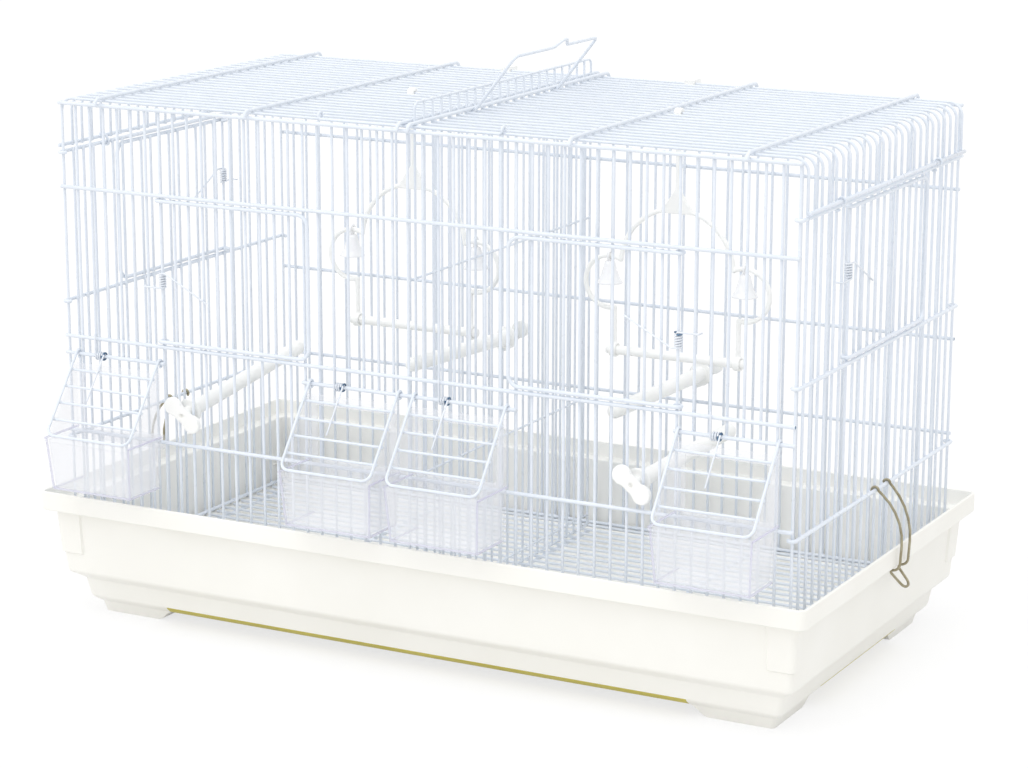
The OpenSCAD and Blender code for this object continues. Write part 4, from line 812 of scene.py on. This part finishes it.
def divider():
    """A welded grid: a bent outer wire, thin uprights and rails; its comb stands above the roof."""
    shape = Shape()
    xu, xr = -DIVIDER_LEFT + DIVIDER_SET / 2, -DIVIDER_LEFT - DIVIDER_SET / 2
    y0, y1 = Y_FRONT + DIVIDER_IN, Y_BACK - DIVIDER_IN
    low, top = GRATE_Z + WIRE / 2 + DIVIDER_PLAY, Z_ROOF + COMB_UP
    tube(shape, bend([(xr, y0, low), (xr, y0, top), (xr, y1, top), (xr, y1, low)], COMB_R), DIVIDER_D)
    foot_z = low + DIVIDER_D / 2
    heights = (foot_z, foot_z + DIVIDER_FOOT_GAP) + DIVIDER_RAILS
    for k in range(1, DIVIDER_GAPS):
        y = y0 + (y1 - y0) * k / DIVIDER_GAPS
        tube(shape, [(xu, y, low), (xu, y, top)], DIVIDER_D)
        for z in heights + (top,):
            ball(shape, ((xu + xr) / 2, y, z), DIVIDER_WELD)
    for z in heights:
        tube(shape, [(xr, y0, z), (xr, y1, z)], DIVIDER_RAIL_D)
    return shape


def carry_handle():
    """A bail hooked on the roof's slot rail, with a hump in its grip."""
    shape = Shape()
    off = (BAR + HANDLE_D) / 2 + HANDLE_PLAY
    y0, y1 = ry(HANDLE_AT[0]), ry(HANDLE_AT[1])
    mid = y0 + (y1 - y0) * HUMP_SHARE
    grip = [(y0, HANDLE_L), (mid - HUMP_FOOT, HANDLE_L), (mid - HUMP_HALF, HANDLE_L + HUMP_UP),
            (mid + HUMP_HALF, HANDLE_L + HUMP_UP), (mid + HUMP_FOOT, HANDLE_L), (y1, HANDLE_L)]
    line = [(off, y0, 0)] + [(off, y, z) for y, z in grip] + [(off, y1, 0)]
    hook = [arc((0, y, 0), X, -Z, off, 0, HANDLE_HOOK) for y in (y0, y1)]
    tube(shape, hook[0][::-1] + bend(line, HUMP_R) + hook[1], HANDLE_D, sides=HANDLE_SIDES)
    lean = Matrix.Rotation(math.radians(HANDLE_LEAN), 4, "Y")
    return shape.place(Matrix.Translation((SLOT_HALF, 0, Z_CROSS)) @ lean)


# Doors, flaps and springs

AT_FRONT = Matrix.Translation((wx(FRONT_HINGE), Y_FRONT, 0))
AT_SIDE = Matrix.Translation((X_SIDE, wy(SIDE_HINGE), 0)) @ Matrix.Rotation(math.pi / 2, 4, "Z")


def door(gaps, pitch, lap, low, high):
    """Hinge on the Z axis, leaf along +X, outside towards -Y."""
    shape = Shape()
    w = gaps * pitch + lap
    hook = [arc((0, 0, z), -X, Y, DOOR_LAY, -90, DOOR_HOOK - 90) for z in (low, high)]
    corners = [(0, -DOOR_LAY, low), (w, -DOOR_LAY, low), (w, -DOOR_LAY, high), (0, -DOOR_LAY, high)]
    tube(shape, hook[0][::-1] + bend(corners, DOOR_R) + hook[1], BAR)
    y = LAY - DOOR_LAY
    for k in range(1, gaps):
        tube(shape, [(k * pitch, y, low - BAR / 2), (k * pitch, y, high + BAR / 2)], WIRE)
        for z in (low, high):
            weld(shape, k * pitch, touch(y, -DOOR_LAY), z, 1)
    return shape


def wound(r, turn):
    """A coil about the Z axis through the angle turn."""
    count = math.ceil(turn / 360 * COIL_STEPS)
    line = []
    for k in range(count + 1):
        a = turn * k / count
        x, y = r * math.cos(math.radians(a)), r * math.sin(math.radians(a))
        line.append((x, y, SPRING_RISE * a / 360))
    return line


def door_spring(pitch, shaded_turn):
    """Wound round the hinge wire; where the flag is true, its first turn is painted dark, as shade."""
    shape = Shape()
    x1 = -pitch - HOOK_PAST
    top = SPRING_RISE * SPRING_TURNS
    hook = [Vector((x1 - HOOK_R, HOOK_R + HOOK_END - COIL_R, 0))]
    hook += arc((x1, HOOK_R - COIL_R, 0), X, Y, HOOK_R, 180, 270)
    coil = [Vector((y, -x, z)) for x, y, z in wound(COIL_R, 360 * SPRING_TURNS)]
    arm_end = (DOOR_ARM, -COIL_R, top - DOOR_ARM_FALL)
    arm = bend([coil[-1], (DOOR_ARM_LEAD, -COIL_R, top), arm_end], DOOR_ARM_R)
    turn = (len(hook), len(hook) + COIL_STEPS) if shaded_turn else None
    tube(shape, hook + coil + arm[1:], SPRING_D, sides=SPRING_SIDES, coil=turn)
    return shape.place(Matrix.Translation((0, 0, -top / 2)))


def flap_spring(n):
    """Wound round the feeder rod, with the place along X where its coil starts."""
    shape = Shape()
    turn = 360 * FLAP_TURNS - FLAP_LEAN
    coil = [Vector(p) for p in wound(FLAP_COIL_R, turn)]
    a = math.radians(turn)
    arm = coil[-1] + Vector((-math.sin(a), math.cos(a), 0)) * FLAP_ARM
    rise = Vector((FLAP_COIL_R, -(Z_MID - Z_ROD + FLAP_ARM_PAST), 0))
    # The coil's last turn takes look 1, painted dark as shade.
    last_turn = (1 + len(coil) - COIL_STEPS, len(coil))
    tube(shape, [rise] + coil + [arm], SPRING_D, sides=SPRING_SIDES, coil=last_turn)
    x = wx(FLAP_COIL_AT[n]) - SPRING_RISE * FLAP_TURNS / 2
    return shape.place(Matrix(((0, 0, 1, x), (-1, 0, 0, ROD_Y), (0, -1, 0, Z_ROD), (0, 0, 0, 1)))), x


def flap(n):
    """A wire cover hooked on the feeder rod, leaning out over its cup."""
    shape = Shape()
    side = (-FLAP_HALF, FLAP_HALF)
    hook = [arc((x, 0, 0), Z, Y, FLAP_LAY, -90, FLAP_HOOK - 90) for x in side]
    line = [(side[0], -FLAP_LAY, 0), (side[0], -FLAP_LAY, -FLAP_L),
            (side[1], -FLAP_LAY, -FLAP_L), (side[1], -FLAP_LAY, 0)]
    tube(shape, hook[0][::-1] + bend(line, FLAP_R) + hook[1], WIRE)
    y = -FLAP_LAY + (WIRE + FLAP_CROSS_D) / 2 + WELD_GAP
    for k in range(1, FLAP_CROSS + 1):
        z = -FLAP_L * k / (FLAP_CROSS + 1)
        tube(shape, [(side[0] - WIRE / 2, y, z), (side[1] + WIRE / 2, y, z)], FLAP_CROSS_D)
        for x in side:
            weld(shape, x, touch(-FLAP_LAY, y), z, 1)
    lean = Matrix.Rotation(math.radians(-FLAP_LEAN), 4, "X")
    return shape.place(Matrix.Translation((FEEDER_X[n], ROD_Y, Z_ROD)) @ lean)


# Cup lips, bells and tray clips


def cup_lip(n):
    """The thick corners of the cup: the top of its side walls, its front corners and its foot."""
    shape = Shape()
    bead = CUP_BEAD / 2
    rim, low = CUP_RIM_Z - bead, CUP_FLOOR_Z + bead
    back, front = Y_FRONT - CUP_BACK, Y_FRONT - CUP_REACH + CUP_LIP + bead
    foot_half, foot_y = CUP_HALF - CUP_TAPER - bead, front + CUP_FRONT_TAPER
    for s in (1, -1):
        x, foot_x = FEEDER_X[n] + s * CUP_HALF, FEEDER_X[n] + s * foot_half
        tube(shape, [(x, front - CUP_LIP, rim), (x, back, rim)], CUP_BEAD)
        tube(shape, [(x - s * bead, front, rim), (foot_x, foot_y, low)], CUP_BEAD)
        tube(shape, [(foot_x, foot_y, low), (foot_x, back - bead, low)], CUP_BEAD)
    ends = (FEEDER_X[n] - foot_half, FEEDER_X[n] + foot_half)
    tube(shape, [(x, foot_y, low) for x in ends], CUP_BEAD)
    return shape


def bell(n, s):
    """A thin bell with a flared lip, an eye on the ring of swing n at side s, and a clapper."""
    shape = Shape()
    eye_r = (SWING_D + BELL_EYE_D) / 2 + BELL_PLAY
    low = -eye_r - BELL_EYE_D / 2 + BELL_SINK - BELL_H
    lathe(shape, [(r * BELL_R, z * BELL_H) for r, z in BELL_INNER + BELL_OUTER], BELL_SIDES)
    shape.place(Matrix.Translation((0, 0, low)))
    tube(shape, arc((0, 0, 0), Y, Z, eye_r, EYE_START, EYE_END), BELL_EYE_D)
    stem = [(0, 0, low + BELL_H * share) for share in (STEM_TOP, STEM_LOW)]
    tube(shape, stem, STEM_D, sides=STEM_SIDES)
    ball(shape, (0, 0, low + BELL_H * CLAPPER_SHARE), [CLAPPER_R] * 3, CLAPPER_SIDES, CLAPPER_RINGS)
    return shape.place(Matrix.Translation((SWING_X[n] + s * RING_X, CAGE_Y, RING_Z + RING_R)))


def tray_clip():
    """A wire hooked on the side wall's low rail: it bows over the rim and ends in a tab below it."""
    shape = Shape()
    xh, rh = X_SIDE + LAY, (BAR + HASP_D) / 2 + HASP_PLAY
    xo, zu = RIM_W / 2 + HASP_CLEAR, STEP_Z - HASP_UNDER
    xi, zi, xt = xo - HASP_REACH, zu - HASP_FALL, RIM_W / 2 + TAB_OUT
    a, b = HASP_HALF, HASP_LOW_HALF
    half = [(xh + rh, -a, SIDE_LOW), (xo, -b, TRAY_H + HASP_KNEE), (xo - HASP_IN, -b, zu),
            (xi, -b, zi), (xt, -TAB_HALF, zi - TAB_DOWN)]
    other = [(x, -y, z) for x, y, z in half[::-1]]
    radii = [HASP_BOW_R, HASP_TUCK_R, HASP_R, TAB_R]
    line = bend(half + other, radii + radii[::-1])
    hook = [arc((xh, y, SIDE_LOW), X, Z, rh, HASP_HOOK, 0) for y in (-a, a)]
    tube(shape, hook[0] + line[1:-1] + hook[1][::-1], HASP_D, sides=HASP_SIDES)
    return shape.place(Matrix.Translation((0, wy(HASP_AT), 0)))


# Pieces on their bodies

# The tray's inside is painted lighter and the underside between its feet painted olive shade.
tray_piece = ease(tray().piece("tray_moulding", IVORY, INSIDE_PAINTED_LIGHT, UNDERSIDE_PAINTED_SHADE), TRAY_EASE)
dress(tray_piece, "cage", "tray", "base_tray")
WIRE_WORK = (("front_wires", front_wall, "front_panel"), ("back_wires", back_wall, "back_panel"),
             ("right_wires", side_wall, "right_panel"), ("roof_wires", roof, "roof_panel"),
             ("roof_loops", roof_hooks, "roof_hooks"), ("roof_rod_wire", roof_rod, "roof_rod"),
             ("grate_wires", grate, "floor_grate"))
# Wires with a dark end cap take the painted shade metal as their second look.
for name, build, node in WIRE_WORK:
    shape = build()
    dress(shape.piece(name, *(COAT, PAINTED_SHADE_METAL)[:1 + max(shape.looks)]), "cage", "wire", node)
dress(side_wall().place(HALF_TURN).piece("left_wires", COAT), "cage", "wire", "left_panel")
dress(divider().piece("divider_wires", COAT), "divider", "wire", "divider")
dress(carry_handle().piece("handle_wire", COAT), "carry_handle", "wire", "carry_handle")

front_leaf = (FRONT_DOOR_GAPS, PITCH_F, FRONT_LAP, Z_MID + BAR + DOOR_EDGE, Z_HIGH - BAR - DOOR_EDGE)
side_leaf = (SIDE_DOOR_GAPS, PITCH_S, SIDE_LAP, SIDE_MID + BAR + DOOR_EDGE, SIDE_TOP - BAR - DOOR_EDGE)
DOORS = (("front_door_left", front_leaf, AT_FRONT, FRONT_COIL_Z, IN_PLACE),
         ("front_door_right", front_leaf, MIRROR_X @ AT_FRONT, FRONT_COIL_Z, MIRROR_Z),
         ("side_door_right", side_leaf, AT_SIDE, SIDE_COIL_Z, IN_PLACE),
         ("side_door_left", side_leaf, HALF_TURN @ AT_SIDE, SIDE_COIL_Z, IN_PLACE))
for node, leaf, at, coil_z, flip in DOORS:
    dress(door(*leaf).place(at).piece(node + "_wires", COAT), node, "wire", node)
    where = at @ Matrix.Translation((0, 0, coil_z)) @ flip
    spring_node = node.replace("door_", "door_spring_")
    # Only the right front door's spring has its first turn painted dark, as shade.
    shaded_turn = flip.determinant() < 0
    spring_looks = (ZINC, PAINTED_SHADE_METAL) if shaded_turn else (ZINC,)
    spring = door_spring(leaf[1], shaded_turn).place(where).piece(spring_node + "_wire", *spring_looks)
    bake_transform(spring)
    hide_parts(spring_node)

for n, cup_x in enumerate(FEEDER_X):
    node = f"feeder_flap_{n + 1}"
    dress(flap(n).piece(node + "_wires", COAT), node, "wire", node)
    shape, x = flap_spring(n)
    spring = shape.piece(f"flap_spring_{n + 1}_wire", ZINC, PAINTED_SHADE_METAL)
    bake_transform(spring)
    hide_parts(f"flap_spring_{n + 1}")
    cup = cad_copy(f"feeder_cup_{n + 1}", f"cup_{n + 1}_moulding", CLEAR)
    cup.data.materials.append(CLEAR_SIDE)
    cup.data.materials.append(CLEAR_EDGE)
    # The faces inside that look across the cup take the second look.
    for face in cup.data.polygons:
        off = face.center.x - cup_x * MM
        if face.normal.x * off < -FACING * abs(off):
            face.material_index = 1
    dress(ease(cup, CUP_EASE, use=2), "cage", "cup")
    dress(cup_lip(n).piece(f"cup_{n + 1}_lip", CLEAR_EDGE), "cage", "cup")
    perch = cad_copy(f"perch_{n + 1}", f"perch_{n + 1}_moulding", WHITE)
    dress(melt(perch, *PERCH_MELT), "cage", "moulding")
    node = f"swing_bell_{n + 1}"
    dress(bell(n // 2, 2 * (n % 2) - 1).piece(f"bell_{n + 1}_moulding", PEARL), node, "moulding", node)

for side in ("left", "right"):
    body = "swing_" + side
    hanger = cad_copy("swing_frame_" + side, f"swing_frame_{side}_moulding", WHITE)
    dress(melt(hanger, *SWING_MELT), body, "moulding")
    seat = cad_copy("swing_bar_" + side, f"swing_bar_{side}_moulding", WHITE)
    dress(ease(seat, BAR_EASE, BAR_EASE_STEPS), body, "moulding")
dress(ease(cad_copy("roof_clips", "roof_clip_mouldings", WHITE), ROOF_CLIP_EASE), "cage", "moulding")
for side, turn in (("right", IN_PLACE), ("left", HALF_TURN)):
    node = "tray_clip_" + side
    dress(tray_clip().place(turn).piece(node + "_wire", BRONZE), node, "clip", node)


# Stage, light and camera


def seen_share(nodes, links, share):
    """share where the camera, a reflection or clear plastic shows the surface, nothing elsewhere."""
    paths = nodes.new("ShaderNodeLightPath")
    first = nodes.new("ShaderNodeMath")
    first.operation = "MAXIMUM"
    links.new(paths.outputs["Is Camera Ray"], first.inputs[0])
    links.new(paths.outputs["Is Glossy Ray"], first.inputs[1])
    second = nodes.new("ShaderNodeMath")
    second.operation = "MAXIMUM"
    links.new(first.outputs["Value"], second.inputs[0])
    links.new(paths.outputs["Is Transmission Ray"], second.inputs[1])
    scaled = nodes.new("ShaderNodeMath")
    scaled.operation = "MULTIPLY"
    links.new(second.outputs["Value"], scaled.inputs[0])
    scaled.inputs[1].default_value = share
    return scaled.outputs["Value"]


def stage_floor():
    """A pale floor that keeps the shadow, and looks lighter than the light it lends the object."""
    mat = bpy.data.materials.new("stage_white")
    mat.use_nodes = True
    nodes, links = mat.node_tree.nodes, mat.node_tree.links
    nodes.remove(nodes["Principled BSDF"])
    shade = nodes.new("ShaderNodeBsdfDiffuse")
    tone = nodes.new("ShaderNodeMapRange")
    tone.inputs["To Min"].default_value = FLOOR_LIT
    tone.inputs["To Max"].default_value = FLOOR_SEEN
    links.new(seen_share(nodes, links, 1.0), tone.inputs["Value"])
    links.new(tone.outputs["Result"], shade.inputs["Color"])
    glow = nodes.new("ShaderNodeEmission")
    glow.inputs["Strength"].default_value = 1.0
    mix = nodes.new("ShaderNodeMixShader")
    links.new(seen_share(nodes, links, FLOOR_GLOW), mix.inputs["Fac"])
    links.new(shade.outputs["BSDF"], mix.inputs[1])
    links.new(glow.outputs["Emission"], mix.inputs[2])
    links.new(mix.outputs["Shader"], nodes["Material Output"].inputs["Surface"])
    mesh = bpy.data.meshes.new("stage_floor")
    signs = ((-1, -1), (1, -1), (1, 1), (-1, 1))
    corners = [(sx * STAGE_REACH, sy * STAGE_REACH, 0) for sx, sy in signs]
    mesh.from_pydata(corners, [], [[0, 1, 2, 3]])
    mesh.materials.append(mat)
    obj = bpy.data.objects.new("stage_floor", mesh)
    bpy.context.scene.collection.objects.link(obj)


def studio():
    """An even world light, which itself shows as white."""
    world = bpy.data.worlds.new("studio")
    bpy.context.scene.world = world
    world.use_nodes = True
    nodes, links = world.node_tree.nodes, world.node_tree.links
    nodes.clear()
    fill = nodes.new("ShaderNodeBackground")
    fill.inputs["Color"].default_value = (*WORLD_TINT, 1)
    fill.inputs["Strength"].default_value = WORLD_FILL
    white = nodes.new("ShaderNodeBackground")
    white.inputs["Strength"].default_value = 1.0
    white.inputs["Color"].default_value = (1, 1, 1, 1)
    mix = nodes.new("ShaderNodeMixShader")
    out = nodes.new("ShaderNodeOutputWorld")
    links.new(seen_share(nodes, links, 1.0), mix.inputs["Fac"])
    links.new(fill.outputs["Background"], mix.inputs[1])
    links.new(white.outputs["Background"], mix.inputs[2])
    links.new(mix.outputs["Shader"], out.inputs["Surface"])


def sun(name, place, spread, power):
    """A wide, even light from place towards the middle of the stage."""
    data = bpy.data.lights.new(name, "SUN")
    data.angle = math.radians(spread)
    data.energy = power
    obj = bpy.data.objects.new(name, data)
    bpy.context.scene.collection.objects.link(obj)
    obj.location = place
    obj.rotation_euler = (-Vector(place)).to_track_quat("-Z", "Y").to_euler()


def camera():
    data = bpy.data.cameras.new("camera")
    data.sensor_width = CAMERA_SENSOR
    data.lens = CAMERA_LENS
    data.shift_x, data.shift_y = CAMERA_SHIFT
    data.clip_end = CAMERA_FAR
    obj = bpy.data.objects.new("camera", data)
    bpy.context.scene.collection.objects.link(obj)
    obj.location = CAMERA_AT
    obj.rotation_euler = (math.radians(CAMERA_TILT), 0, math.radians(CAMERA_TURN))
    bpy.context.scene.camera = obj


stage_floor()
studio()
for lamp in SUNS:
    sun(*lamp)
camera()
bpy.context.scene.view_settings.view_transform = "Standard"
